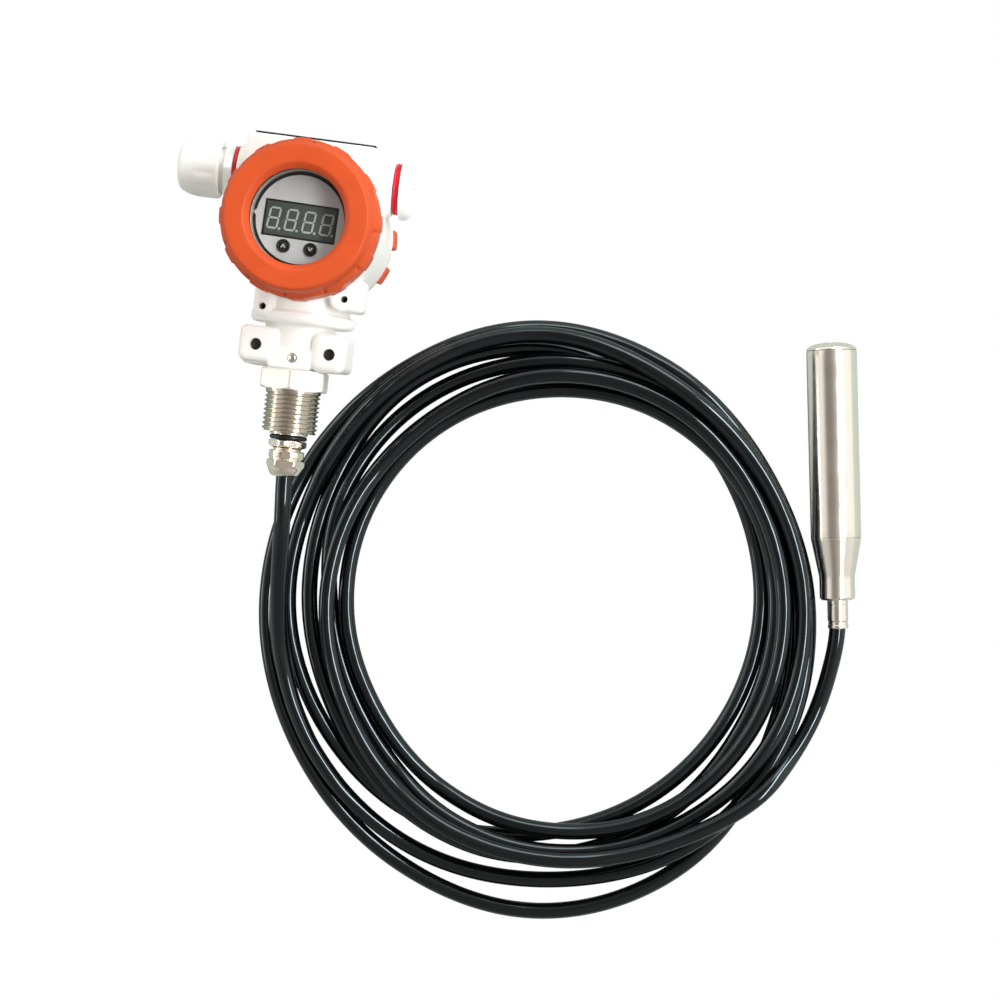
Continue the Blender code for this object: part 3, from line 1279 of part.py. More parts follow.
def build():
    for piece in list(bpy.data.objects):
        bpy.data.objects.remove(piece)
    white_paint = make_material("white_paint", (238, 237, 233), 0.35)
    orange_paint = make_material("orange_paint", (240, 105, 50), 0.40)
    black_rubber = make_material("black_rubber", (28, 28, 28), 0.70)
    red_rubber = make_material("red_rubber", (222, 24, 42), 0.45)
    glass = make_material("glass", (225, 232, 232), 0.05, alpha=0.25)
    steel = make_material("steel", (196, 192, 186), 0.28, 1.0)
    nickel = make_material("nickel", (206, 200, 190), 0.22, 1.0)
    aluminium = make_material("aluminium", (188, 187, 189), 0.38, 0.7)
    nylon = make_material("nylon", (244, 244, 241), 0.45)
    smoked = make_material("smoked_plastic", (78, 85, 84), 0.30)
    board = make_material("circuit_board", (30, 82, 52), 0.50)
    black = make_material("black_plastic", (26, 26, 28), 0.45)
    potting = make_material("potting", (38, 40, 44), 0.55)
    jacket = make_material("cable_jacket", (14, 15, 17), 0.22)

    make_housing(white_paint)
    make_front_cover(orange_paint)
    make_rear_cover(orange_paint)
    make_cover_seals(black_rubber)
    make_glazing(glass, steel)
    make_display(aluminium, smoked, board, black, steel, potting)
    make_terminals(black, steel)
    make_nameplate(black, steel)
    make_side_gland(nylon, black_rubber, red_rubber)
    make_blanking_plug(nylon, red_rubber)
    make_set_screw(steel)
    make_process_connector(steel)
    make_cable_gland(nickel, black_rubber)
    make_probe(steel, black_rubber, board)
    make_cable(jacket)


build()
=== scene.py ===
"""Visual model of a submersible level transmitter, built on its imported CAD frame.

The frame's axes: +Z runs along the head's drum towards the display, -Y along the neck, +X towards the
blanking plug, and the head lies on the origin. Sizes in this file are in millimetres and are turned to
metres where a mesh is made; the floor, the lights and the cord's exit are in metres.
"""

import json
import math

import bmesh
import bpy
import numpy as np
from mathutils import Matrix, Vector

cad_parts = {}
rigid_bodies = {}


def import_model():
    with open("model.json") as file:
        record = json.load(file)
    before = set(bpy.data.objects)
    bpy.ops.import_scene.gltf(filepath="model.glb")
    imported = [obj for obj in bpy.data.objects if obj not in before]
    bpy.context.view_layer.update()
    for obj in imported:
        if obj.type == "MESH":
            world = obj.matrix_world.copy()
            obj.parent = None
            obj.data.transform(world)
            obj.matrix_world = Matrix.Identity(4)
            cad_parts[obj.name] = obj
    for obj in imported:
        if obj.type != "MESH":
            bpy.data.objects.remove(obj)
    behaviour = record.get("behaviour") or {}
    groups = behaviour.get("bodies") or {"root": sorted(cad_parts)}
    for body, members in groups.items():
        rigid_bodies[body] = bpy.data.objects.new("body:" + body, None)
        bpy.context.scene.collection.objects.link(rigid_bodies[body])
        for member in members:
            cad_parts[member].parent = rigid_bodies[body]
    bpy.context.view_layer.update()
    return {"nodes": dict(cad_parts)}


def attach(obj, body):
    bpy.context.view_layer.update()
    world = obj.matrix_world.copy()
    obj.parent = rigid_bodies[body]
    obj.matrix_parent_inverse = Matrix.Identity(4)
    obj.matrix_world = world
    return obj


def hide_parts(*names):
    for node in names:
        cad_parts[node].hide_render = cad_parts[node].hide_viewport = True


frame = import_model()
MM = 0.001

# Camera: a pinhole 1090 mm above the floor that looks almost straight down
CAMERA_PLACE = (146.74, -91.51, 1090.0)
CAMERA_ROLL = math.radians(6.6)
FOCAL_PIXELS = 2130.0
PICTURE_SIZE = 1000.0
SENSOR_WIDTH = 36.0
NADIR_RIGHT = 90.0
NADIR_UP = 50.0

# Levels and sizes of the head, as in the CAD model
AXIS = 56.0
DRUM_REAR, DRUM_FRONT = 17.3, 85.3
CAP_BASE = 85.6
FACEPLATE = 95.0
ROOF = 40.2
ROOF_HALF_HEIGHT = 22.0
CONDUIT = 23.3
ROOF_TILT = -1.2
DISPLAY_TILT = -2.0


# Camera


def placed(columns, place):
    """A matrix whose columns are three directions and then a place in metres."""
    matrix = Matrix.Identity(4)
    for column, vector in enumerate(columns):
        for row in range(3):
            matrix[row][column] = vector[row]
    matrix.translation = Vector(place)
    return matrix


def make_camera():
    """The camera's axes are the smallest turn that takes straight down to the nadir's place in the
    picture, then the roll about the vertical."""
    nadir = np.array([NADIR_RIGHT / FOCAL_PIXELS, NADIR_UP / FOCAL_PIXELS, 1.0])
    nadir /= np.linalg.norm(nadir)
    straight = np.array([0.0, 0.0, 1.0])
    axis = np.cross(straight, nadir)
    sine = np.linalg.norm(axis)
    cosine = straight @ nadir
    axis /= sine
    skew = np.array([[0, -axis[2], axis[1]], [axis[2], 0, -axis[0]], [-axis[1], axis[0], 0]])
    turn = np.eye(3) + sine * skew + (1 - cosine) * skew @ skew
    rows = turn @ np.diag([1.0, 1.0, -1.0])
    along = math.cos(CAMERA_ROLL)
    aside = math.sin(CAMERA_ROLL)
    roll = np.array([[along, -aside, 0.0], [aside, along, 0.0], [0.0, 0.0, 1.0]])
    right, up, ahead = (roll @ row for row in rows)
    data = bpy.data.cameras.new("view_camera")
    data.sensor_width = SENSOR_WIDTH
    data.lens = FOCAL_PIXELS / PICTURE_SIZE * SENSOR_WIDTH
    data.clip_start = 0.05
    data.clip_end = 20.0
    camera = bpy.data.objects.new("view_camera", data)
    bpy.context.scene.collection.objects.link(camera)
    camera.matrix_world = placed((right, up, -ahead), Vector(CAMERA_PLACE) * MM)
    bpy.context.scene.camera = camera


make_camera()


# Materials


def linear(code):
    """An sRGB hex colour as linear red, green, blue and alpha."""
    channels = [int(code[i : i + 2], 16) / 255.0 for i in (1, 3, 5)]
    values = [c / 12.92 if c <= 0.04045 else ((c + 0.055) / 1.055) ** 2.4 for c in channels]
    return (*values, 1.0)


def add(tree, kind, inputs=None, **settings):
    """Adds a node; inputs are values or output sockets by the input's name or number."""
    node = tree.nodes.new(kind)
    for name, value in settings.items():
        setattr(node, name, value)
    for name, value in (inputs or {}).items():
        if isinstance(value, bpy.types.NodeSocket):
            tree.links.new(value, node.inputs[name])
        else:
            node.inputs[name].default_value = value
    return node


def new_material(name, color, roughness, metallic=0.0, **sockets):
    """A material, its node tree and its shader; an underscore in a socket's name is a space."""
    material = bpy.data.materials.new(name)
    material.use_nodes = True
    tree = material.node_tree
    shader = tree.nodes["Principled BSDF"]
    shader.inputs["Base Color"].default_value = linear(color)
    shader.inputs["Roughness"].default_value = roughness
    shader.inputs["Metallic"].default_value = metallic
    for socket, value in sockets.items():
        shader.inputs[socket.replace("_", " ")].default_value = value
    return material, tree, shader


def object_place(tree):
    """The place on the piece, in the shared frame's metres."""
    return add(tree, "ShaderNodeTexCoord").outputs["Object"]


def attribute(tree, name):
    """The vector that a mesh holds at each point under a name."""
    return add(tree, "ShaderNodeAttribute", attribute_name=name).outputs["Vector"]


def noise(tree, place, grain, detail=2.0, rough=0.5, stretch=None):
    """Noise whose grain is a length in millimetres; stretch lengthens it along each axis."""
    if stretch is not None:
        place = add(tree, "ShaderNodeMapping", {"Vector": place, "Scale": stretch}).outputs["Vector"]
    values = {"Vector": place, "Scale": 1000.0 / grain, "Detail": detail, "Roughness": rough}
    return add(tree, "ShaderNodeTexNoise", values).outputs["Fac"]


def spread(tree, value, low, high, smallest=0.3, largest=0.7):
    """A value from smallest to largest mapped to a range from low to high."""
    values = {"Value": value, "From Min": smallest, "From Max": largest, "To Min": low, "To Max": high}
    return add(tree, "ShaderNodeMapRange", values).outputs["Result"]


def two_tone(tree, share, first, second):
    """Two hex colours mixed by a share from 0 to 1."""
    node = add(tree, "ShaderNodeMix", {"Factor": share}, data_type="RGBA")
    colors = [s for s in node.inputs if s.type == "RGBA"]
    colors[0].default_value = linear(first)
    colors[1].default_value = linear(second)
    return [s for s in node.outputs if s.type == "RGBA"][0]


def bump(tree, height, depth, normal=None):
    """A bump whose full height is a depth in millimetres."""
    values = {"Height": height, "Strength": 1.0, "Distance": depth * MM}
    if normal is not None:
        values["Normal"] = normal
    return add(tree, "ShaderNodeBump", values).outputs["Normal"]


def powder_coat(name, color, shade, roughness, shine=0.5):
    """Baked powder coat: orange-peel bumps about 1.4 mm across with a finer grain on them, and a
    faint drift of colour over 22 mm. The sheen is broad, with no clear mirror image."""
    material, tree, shader = new_material(name, color, roughness)
    shader.inputs["Specular IOR Level"].default_value = shine
    place = object_place(tree)
    drift = spread(tree, noise(tree, place, 22.0, 3.0), 0.0, 1.0)
    tree.links.new(two_tone(tree, drift, color, shade), shader.inputs["Base Color"])
    gloss = spread(tree, noise(tree, place, 6.0, 3.0), roughness - 0.05, roughness + 0.07)
    tree.links.new(gloss, shader.inputs["Roughness"])
    peel = noise(tree, place, 1.4, 2.0)
    grain = noise(tree, place, 0.35, 1.0)
    tree.links.new(bump(tree, grain, 0.004, bump(tree, peel, 0.016)), shader.inputs["Normal"])
    return material


def turned_steel(name, color, roughness, pitch=0.22, groove=0.0012, metallic=1.0):
    """Turned stainless steel: fine rings about the piece's own axis, drawn by noise along the axis
    and the radius only, and faint smudges that vary the gloss."""
    material, tree, shader = new_material(name, color, roughness, metallic)
    turn = attribute(tree, "turn")
    rings = noise(tree, turn, pitch, 3.0, 0.6, (1.0, 0.0, 1.0))
    smudge = noise(tree, object_place(tree), 9.0, 3.0)
    tree.links.new(spread(tree, smudge, roughness - 0.02, roughness + 0.04), shader.inputs["Roughness"])
    tree.links.new(bump(tree, rings, groove), shader.inputs["Normal"])
    return material


def plated_metal(name, color, roughness):
    """Nickel plate: bright, with soft dents about 3 mm across and fine polishing scratches."""
    material, tree, shader = new_material(name, color, roughness, 1.0)
    place = object_place(tree)
    scratch = noise(tree, place, 0.5, 2.0, 0.6, (1.0, 0.15, 1.0))
    gloss = spread(tree, noise(tree, place, 4.0, 2.0), roughness - 0.04, roughness + 0.08)
    tree.links.new(gloss, shader.inputs["Roughness"])
    dents = bump(tree, noise(tree, place, 3.0), 0.010)
    tree.links.new(bump(tree, scratch, 0.002, dents), shader.inputs["Normal"])
    return material


def moulded(name, color, shade, roughness, grain=0.5, depth=0.006, **sockets):
    """Moulded plastic or rubber: a fine even grain, a faint colour drift, and varied gloss."""
    material, tree, shader = new_material(name, color, roughness, **sockets)
    place = object_place(tree)
    drift = spread(tree, noise(tree, place, 9.0, 3.0), 0.0, 1.0)
    tree.links.new(two_tone(tree, drift, color, shade), shader.inputs["Base Color"])
    gloss = spread(tree, noise(tree, place, 2.5, 3.0), roughness - 0.05, roughness + 0.08)
    tree.links.new(gloss, shader.inputs["Roughness"])
    tree.links.new(bump(tree, noise(tree, place, grain, 2.0), depth), shader.inputs["Normal"])
    return material


def cable_jacket():
    """Extruded cable jacket: fine streaks along the cable from noise that is much longer than wide,
    a soft waviness that breaks the highlights up, and smudges that dull the gloss."""
    material, tree, shader = new_material("extruded_black_cable_jacket", "#050607", 0.1)
    sheath = attribute(tree, "sheath")
    streak = noise(tree, sheath, 420.0, 3.0, 0.6, (1.0, 1.0, 9.0))
    wave = noise(tree, sheath, 900.0, 2.0, 0.5, (1.0, 1.0, 34.0))
    place = object_place(tree)
    smudge = noise(tree, place, 16.0, 4.0)
    dust = spread(tree, noise(tree, place, 1.1, 3.0), 0.0, 1.0, 0.55, 0.85)
    tree.links.new(two_tone(tree, dust, "#050607", "#0d1011"), shader.inputs["Base Color"])
    tree.links.new(spread(tree, smudge, 0.05, 0.14), shader.inputs["Roughness"])
    shader.inputs["Specular IOR Level"].default_value = 0.65
    shader.inputs["Specular Tint"].default_value = (0.78, 0.92, 1.0, 1.0)
    tree.links.new(bump(tree, streak, 0.02, bump(tree, wave, 0.12)), shader.inputs["Normal"])
    return material


def window_glass():
    """Flat float glass: clear, with a weak mirror image and faint smears on its face."""
    material, tree, shader = new_material("flat_clear_window_glass", "#ffffff", 0.03, 1.0)
    smear = noise(tree, object_place(tree), 12.0, 4.0, 0.6)
    tree.links.new(spread(tree, smear, 0.02, 0.10), shader.inputs["Roughness"])
    clear = add(tree, "ShaderNodeBsdfTransparent", {"Color": (0.95, 0.96, 0.955, 1.0)}).outputs["BSDF"]
    mirror = spread(tree, smear, 0.008, 0.02)
    mix = add(tree, "ShaderNodeMixShader", {"Fac": mirror, 1: clear, 2: shader.outputs["BSDF"]})
    tree.links.new(mix.outputs["Shader"], tree.nodes["Material Output"].inputs["Surface"])
    return material


def circuit_board():
    """Green solder mask with faint copper tracks: bands from noise that is stretched along X."""
    material, tree, shader = new_material("green_solder_mask", "#1e5234", 0.4)
    place = object_place(tree)
    tracks = spread(tree, noise(tree, place, 2.2, 0.0, 0.5, (0.25, 1.0, 1.0)), 0.0, 1.0, 0.50, 0.54)
    tree.links.new(two_tone(tree, tracks, "#1b4a2f", "#2b6a45"), shader.inputs["Base Color"])
    tree.links.new(bump(tree, tracks, 0.03), shader.inputs["Normal"])
    return material


def make_materials():
    """Every material of the object, by a short word for its finish."""
    return {
        "white": powder_coat("white_powder_coated_casting", "#f9f8f5", "#f5f4f0", 0.36),
        "orange": powder_coat("orange_powder_coated_casting", "#d05124", "#c64c22", 0.45, 0.25),
        "steel": turned_steel("turned_stainless_steel", "#f4eee4", 0.20),
        "bright_steel": turned_steel("satin_milled_steel", "#f6f2ea", 0.36, 0.6, 0.0008, 0.45),
        "thread_steel": turned_steel("threaded_stainless_steel", "#d6cfc4", 0.2, 0.15, 0.001),
        "inner_steel": turned_steel("dull_turned_steel_ring", "#b9b2aa", 0.3),
        "nickel": plated_metal("nickel_plated_brass", "#fbf1e3", 0.13),
        "nylon": moulded("moulded_white_nylon", "#fafaf8", "#f4f4f1", 0.38, Subsurface_Weight=0.05),
        "red": moulded("moulded_red_silicone_rubber", "#e5102e", "#d00d28", 0.42),
        "rubber": moulded("moulded_black_rubber", "#0c0c0c", "#141414", 0.42, 0.3, 0.008),
        "black": moulded("moulded_black_plastic", "#1c1a18", "#24221f", 0.42),
        "black_plate": moulded("black_anodised_plate", "#08080a", "#0d0d10", 0.45),
        "faceplate": moulded(
            "silver_printed_faceplate", "#eaeaee", "#dddde1", 0.36, 0.25, 0.004, Metallic=0.3
        ),
        "window": moulded("smoked_display_window", "#525a58", "#4b5351", 0.22, 1.5, 0.002),
        "border": moulded("black_display_border", "#141617", "#1a1c1d", 0.35),
        "digits": moulded("light_grey_segments", "#c3c9c4", "#a9afaa", 0.4, 6.0, 0.002),
        "arrows": moulded("white_print", "#d9d9d6", "#cfcfcc", 0.5),
        "cable": cable_jacket(),
        "glass": window_glass(),
        "board": circuit_board(),
        "potting": moulded("cast_black_resin", "#26282c", "#2c2e33", 0.35, 3.0, 0.03),
    }


MATERIALS = make_materials()


# Mesh tools


def axes(place, direction, across=(0.0, 0.0, 1.0)):
    """A frame whose third axis is a direction and whose first lies nearest to across."""
    third = np.array(direction, float)
    third /= np.linalg.norm(third)
    first = np.array(across, float) - third * (np.array(across) @ third)
    if np.linalg.norm(first) < 1e-6:
        first = np.array([1.0, 0.0, 0.0]) - third * third[0]
    first /= np.linalg.norm(first)
    return np.array(place, float), first, np.cross(third, first), third


UP = axes((0, 0, 0), (0, 0, 1), (1, 0, 0))
NECK = axes((0, 0, AXIS), (0, -1, 0))
LEFT = axes((0, CONDUIT, AXIS), (-1, 0, 0))
RIGHT = axes((0, CONDUIT, AXIS), (1, 0, 0))


def settle(piece, body, replaced=(), sharp=35.0):
    """Shades a piece smooth with its sharp edges kept, and then, where a body is given, names the
    body it rides on and the CAD nodes it stands for."""
    piece.data.shade_smooth()
    piece.data.set_sharp_from_angle(angle=math.radians(sharp))
    if body is not None:
        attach(piece, body)
    if replaced:
        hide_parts(*replaced)
    return piece


def linked(name, mesh):
    """A new object in the scene, from a mesh or a light's data."""
    piece = bpy.data.objects.new(name, mesh)
    bpy.context.scene.collection.objects.link(piece)
    return piece


def put_mesh(name, points, faces, material, body, replaced=(), values=None, sharp=35.0):
    """Makes an object from points in millimetres and faces of three or four corners, turned so that
    its volume is positive, with smooth shading and sharp edges kept."""
    points = np.asarray(points, float)
    corners = points[np.array([f[:3] for f in faces])]
    volume = np.einsum("ij,ij->i", corners[:, 0], np.cross(corners[:, 1], corners[:, 2])).sum()
    quads = [f for f in faces if len(f) == 4]
    if quads:
        rest = points[np.array(quads)[:, [0, 2, 3]]]
        volume += np.einsum("ij,ij->i", rest[:, 0], np.cross(rest[:, 1], rest[:, 2])).sum()
    if volume < 0:
        faces = [tuple(f)[::-1] for f in faces]
    mesh = bpy.data.meshes.new(name)
    mesh.from_pydata((points * MM).tolist(), [], [tuple(int(i) for i in f) for f in faces])
    for key, array in (values or {}).items():
        layer = mesh.attributes.new(key, "FLOAT_VECTOR", "POINT")
        layer.data.foreach_set("vector", np.asarray(array, np.float32).ravel())
    mesh.update()
    mesh.materials.append(MATERIALS[material])
    return settle(linked(name, mesh), body, replaced, sharp)


def grid_faces(rows, columns, wrap_rows, wrap_columns):
    """The quads of a grid of points numbered row by row, joined round where it wraps."""
    i, j = np.meshgrid(
        np.arange(rows if wrap_rows else rows - 1),
        np.arange(columns if wrap_columns else columns - 1),
        indexing="ij",
    )
    up = (i + 1) % rows
    on = (j + 1) % columns
    quads = np.stack([i * columns + j, i * columns + on, up * columns + on, up * columns + j], -1)
    return quads.reshape(-1, 4)


def closed_faces(rows, sides):
    """The faces of a tube of rings, with a fan of triangles at each end. The fans' middle points are
    the two that follow the rings' points."""
    low = rows * sides
    last = low - sides
    faces = [tuple(f) for f in grid_faces(rows, sides, False, True)]
    faces += [((j + 1) % sides, j, low) for j in range(sides)]
    faces += [(last + j, last + (j + 1) % sides, low + 1) for j in range(sides)]
    return faces


def softened(points, size, closed=False, steps=4):
    """Rounds each corner of a line of points with a parabola that starts and ends at most size
    from the corner, and never past 45% of a side."""
    points = np.asarray(points, float)
    count = len(points)
    result = []
    for i in range(count):
        if not closed and i in (0, count - 1):
            result.append(points[i])
            continue
        before = points[i - 1] - points[i]
        after = points[(i + 1) % count] - points[i]
        reach_before = min(size, 0.45 * np.linalg.norm(before))
        reach_after = min(size, 0.45 * np.linalg.norm(after))
        start = points[i] + before / np.linalg.norm(before) * reach_before
        end = points[i] + after / np.linalg.norm(after) * reach_after
        for step in range(steps + 1):
            t = step / steps
            result.append(start * (1 - t) ** 2 + 2 * points[i] * t * (1 - t) + end * t * t)
    return np.array(result)


def fine(points, longest):
    """Splits the long steps of a line of (radius, height) points so that none is over longest."""
    result = [points[0]]
    for first, second in zip(points, points[1:]):
        count = max(1, int(math.ceil(np.linalg.norm(second - first) / longest)))
        result.extend(first + (second - first) * (k + 1) / count for k in range(count))
    return np.array(result)


def lathe(name, profile, material, body, replaced=(), at=UP, sides=96, ring=False, shape=None, sharp=35.0):
    """Turns a profile of (radius, height) points about a frame's third axis. A ring profile is
    closed on itself; any other starts and ends on the axis. shape(angle, radius, height) gives the
    radius at each angle where the section isn't round."""
    profile = np.asarray(profile, float)
    angle = np.linspace(0.0, 2.0 * math.pi, sides, endpoint=False)
    inner = profile if ring else profile[1:-1]
    radius = np.repeat(inner[:, :1], sides, 1)
    height = np.repeat(inner[:, 1:], sides, 1)
    turn = np.repeat(angle[None, :], len(inner), 0)
    if shape is not None:
        radius = shape(turn, radius, height)
    place, first, second, third = at
    points = (
        place
        + (radius * np.cos(turn))[..., None] * first
        + (radius * np.sin(turn))[..., None] * second
        + height[..., None] * third
    ).reshape(-1, 3)
    marks = np.stack([radius, turn, height], -1).reshape(-1, 3) * MM
    if ring:
        faces = [tuple(f) for f in grid_faces(len(inner), sides, True, True)]
    else:
        faces = closed_faces(len(inner), sides)
        points = np.vstack([points, place + profile[0, 1] * third, place + profile[-1, 1] * third])
        marks = np.vstack([marks, [0, 0, profile[0, 1] * MM], [0, 0, profile[-1, 1] * MM]])
    return put_mesh(name, points, faces, material, body, replaced, {"turn": marks}, sharp)


def hexagonal(flats, corner_on=0.0, round_off=0.35):
    """A section shape: the smaller of the profile's radius and a hexagon's, whose corners lie at
    corner_on and every 60 degrees and are rounded a little."""

    def shape(angle, radius, height):
        part = (angle - corner_on + math.pi / 6) % (math.pi / 3) - math.pi / 6
        edge = flats / 2 / np.cos(math.pi / 6 - np.abs(part))
        blunt = flats / math.sqrt(3.0) - round_off
        return np.minimum(np.minimum(radius, edge), np.maximum(blunt, 0.0))

    return shape


def evaluated(piece):
    """Replaces a piece's mesh by what its modifiers make of it."""
    bpy.context.view_layer.update()
    graph = bpy.context.evaluated_depsgraph_get()
    mesh = bpy.data.meshes.new_from_object(piece.evaluated_get(graph))
    piece.modifiers.clear()
    piece.data = mesh


def prism(bottom, top):
    """Two rings of points, floor and lid, joined by a wall."""
    mesh = bmesh.new()
    lower = [mesh.verts.new(p) for p in bottom]
    upper = [mesh.verts.new(p) for p in top]
    mesh.faces.new(lower[::-1])
    mesh.faces.new(upper)
    count = len(lower)
    for i in range(count):
        j = (i + 1) % count
        mesh.faces.new((lower[i], lower[j], upper[j], upper[i]))
    return mesh


def bevel(mesh, edges, size, steps):
    """Rounds some edges over a size, in as many flat steps as asked for."""
    bmesh.ops.bevel(mesh, geom=edges, offset=size, segments=steps, profile=0.5, affect="EDGES")


def steep_edges(mesh):
    """The edges where two faces meet at more than 50 degrees."""
    return [e for e in mesh.edges if e.calc_face_angle(0.0) > math.radians(50.0)]


def slab(name, outline, low, high, material, body, replaced=(), edge=0.0, at=UP):
    """A flat outline of (x, y) points carried from low to high, with its edges bevelled."""
    outline = np.asarray(outline, float)
    place, first, second, third = at
    flat = place + outline[:, :1] * first + outline[:, 1:] * second
    mesh = prism((flat + low * third) * MM, (flat + high * third) * MM)
    bmesh.ops.recalc_face_normals(mesh, faces=mesh.faces)
    if edge > 0.0:
        bevel(mesh, steep_edges(mesh), edge * MM, 3)
    data = bpy.data.meshes.new(name)
    mesh.to_mesh(data)
    mesh.free()
    data.materials.append(MATERIALS[material])
    return settle(linked(name, data), body, replaced)


# Cable

CABLE = 8.2
COIL_CENTRE = np.array([131.0, -176.3])
COIL_START = 156.7
LEAD_MEETS_COIL = 226.7
KNOT = 30.0
SAMPLE = 2.5

# The coil's radius at every 30 degrees, a row for each turn, as the strands lie in the photograph
TURN_RADII = (
    (146.1, 135.4, 135.5, 138.1, 137.6, 140.3, 139.5, 135.9, 133.6, 139.2, 144.6, 141.4),
    (140.3, 140.6, 142.4, 148.2, 153.8, 148.4, 134.4, 127.6, 128.3, 130.6, 127.3, 123.6),
    (116.4, 107.2, 106.0, 113.0, 120.8, 128.3, 133.0, 133.2, 132.2, 133.6, 141.0, 137.2),
    (131.4, 129.4, 125.3, 122.4, 113.6, 109.9, 109.6, 112.5, 117.6, 126.5, 134.4, 133.9),
    (123.5, 118.4, 116.8, 122.0, 125.0, 122.2, 118.4, 119.4, 120.7, 118.3, 113.0, 108.0),
    (103.1, 99.2, 98.0, 103.8, 110.4, 118.6, 122.0, 122.9, 123.5, 124.0, 119.9, 112.4),
    (109.1, 108.6, 110.4, 117.0, 123.2, 133.0, 147.4),
)

# The rows in the order they lie on the floor, the lowest first
LAID_ORDER = (3, 1, 0, 4, 2, 5, 6)

LEAD_POINTS = (
    (0.0, -113.9, 56.0),
    (0.0, -118.0, 56.0),
    (0.1, -122.5, 56.0),
    (0.4, -128.1, 55.8),
    (0.9, -135.0, 55.0),
    (1.2, -142.9, 53.2),
    (1.0, -153.8, 48.5),
    (0.7, -166.0, 42.0),
    (0.3, -177.9, 34.5),
    (0.6, -190.5, 27.5),
    (1.7, -203.0, 21.5),
    (3.6, -214.3, 17.0),
    (10.9, -236.6, 13.0),
    (22.3, -257.6, 11.0),
)
TAIL_POINTS = (
    (266.0, -234.3, 9.6),
    (271.6, -222.6, 7.5),
    (275.9, -210.8, 6.5),
    (278.6, -198.6, 7.5),
    (280.3, -184.7, 10.0),
    (281.45, -173.5, 12.1),
    (281.19, -166.4, 12.6),
    (280.3, -160.0, 12.6),
    (277.85, -142.8, 12.6),
)


def through(knots, values, places):
    """Reads a smooth curve through evenly spaced values at any places between them."""
    values = np.asarray(values, float)
    step = knots[1] - knots[0]
    index = np.clip(((places - knots[0]) / step).astype(int), 0, len(values) - 2)
    t = (places - knots[index]) / step
    if values.ndim > 1:
        t = t[:, None]
    a = values[np.maximum(index - 1, 0)]
    b = values[index]
    c = values[index + 1]
    d = values[np.minimum(index + 2, len(values) - 1)]
    return (2 * b + (c - a) * t + (2 * a - 5 * b + 4 * c - d) * t**2 + (3 * b - a - 3 * c + d) * t**3) / 2


def eased(values, width):
    """The highest of the neighbours within width samples, smoothed by a bell curve."""
    padded = np.pad(values, width, mode="edge")
    highest = np.lib.stride_tricks.sliding_window_view(padded, 2 * width + 1).max(1)
    bell = np.exp(-0.5 * (np.arange(-2 * width, 2 * width + 1) / (0.8 * width)) ** 2)
    return np.convolve(np.pad(highest, 2 * width, mode="edge"), bell / bell.sum(), mode="valid")


def coil_heights(radii, skip):
    """Lays the turns one on another in the order they were wound down: where a turn crosses one
    that lies already, its centre rises until the two are a diameter apart. The first skip samples
    belong to the lead and carry nothing."""
    per_turn = int(360 / SAMPLE)
    heights = np.full(len(radii), CABLE / 2)
    laid = np.zeros(len(radii), bool)
    for row in LAID_ORDER:
        low = row * per_turn
        high = min(low + per_turn, len(radii))
        mine = np.arange(low, high)
        raw = np.full(high - low, CABLE / 2)
        for other in range(len(TURN_RADII)):
            theirs = mine + (other - row) * per_turn
            known = (theirs >= 0) & (theirs < len(radii))
            theirs = np.clip(theirs, 0, len(radii) - 1)
            apart = np.abs(radii[mine] - radii[theirs])
            under = known & laid[theirs] & (apart < CABLE)
            lift = heights[theirs] + np.sqrt(np.maximum(CABLE**2 - apart**2, 0.0))
            raw = np.where(under, np.maximum(raw, lift), raw)
        heights[low:high] = eased(raw, 3)
        laid[low:high] = True
        laid[:skip] = False
    return eased(heights, 1)


def run_along(line):
    """The length along a line up to each of its points."""
    return np.concatenate([[0.0], np.cumsum(np.linalg.norm(np.diff(line, axis=0), axis=1))])


def cable_route():
    """The cable's centre line: down from the gland, round the coil's turns, and into the probe. It
    is cut into even steps of 3 mm and smoothed by a bell curve over 13 of them."""
    radii = [radius for row in TURN_RADII for radius in row]
    knots = COIL_START + KNOT * np.arange(len(radii))
    angles = np.arange(knots[0], knots[-1] + 0.01, SAMPLE)
    reach = through(knots, radii, angles)
    skip = int((LEAD_MEETS_COIL - COIL_START) / SAMPLE)
    heights = coil_heights(reach, skip)
    keep = slice(skip, len(angles) - 3)
    turn = np.radians(angles[keep])
    across = COIL_CENTRE[0] + reach[keep] * np.cos(turn)
    along = COIL_CENTRE[1] + reach[keep] * np.sin(turn)
    coil = np.column_stack([across, along, heights[keep]])
    coming_down = 10.0 * np.linspace(1.0, 0.0, 12) ** 2
    count = len(coming_down)
    coil[:count, 2] = np.maximum(coil[:count, 2], coming_down)
    route = np.vstack([LEAD_POINTS, coil, TAIL_POINTS])
    run = run_along(route)
    even = np.arange(0.0, run[-1], 3.0)
    line = np.column_stack([np.interp(even, run, route[:, k]) for k in range(3)])
    bell = np.exp(-0.5 * (np.arange(-6, 7) / 2.4) ** 2)
    bell /= bell.sum()
    ends = np.vstack([2 * line[0] - line[6:0:-1], line, 2 * line[-1] - line[-2:-8:-1]])
    return np.column_stack([np.convolve(ends[:, k], bell, mode="valid") for k in range(3)])


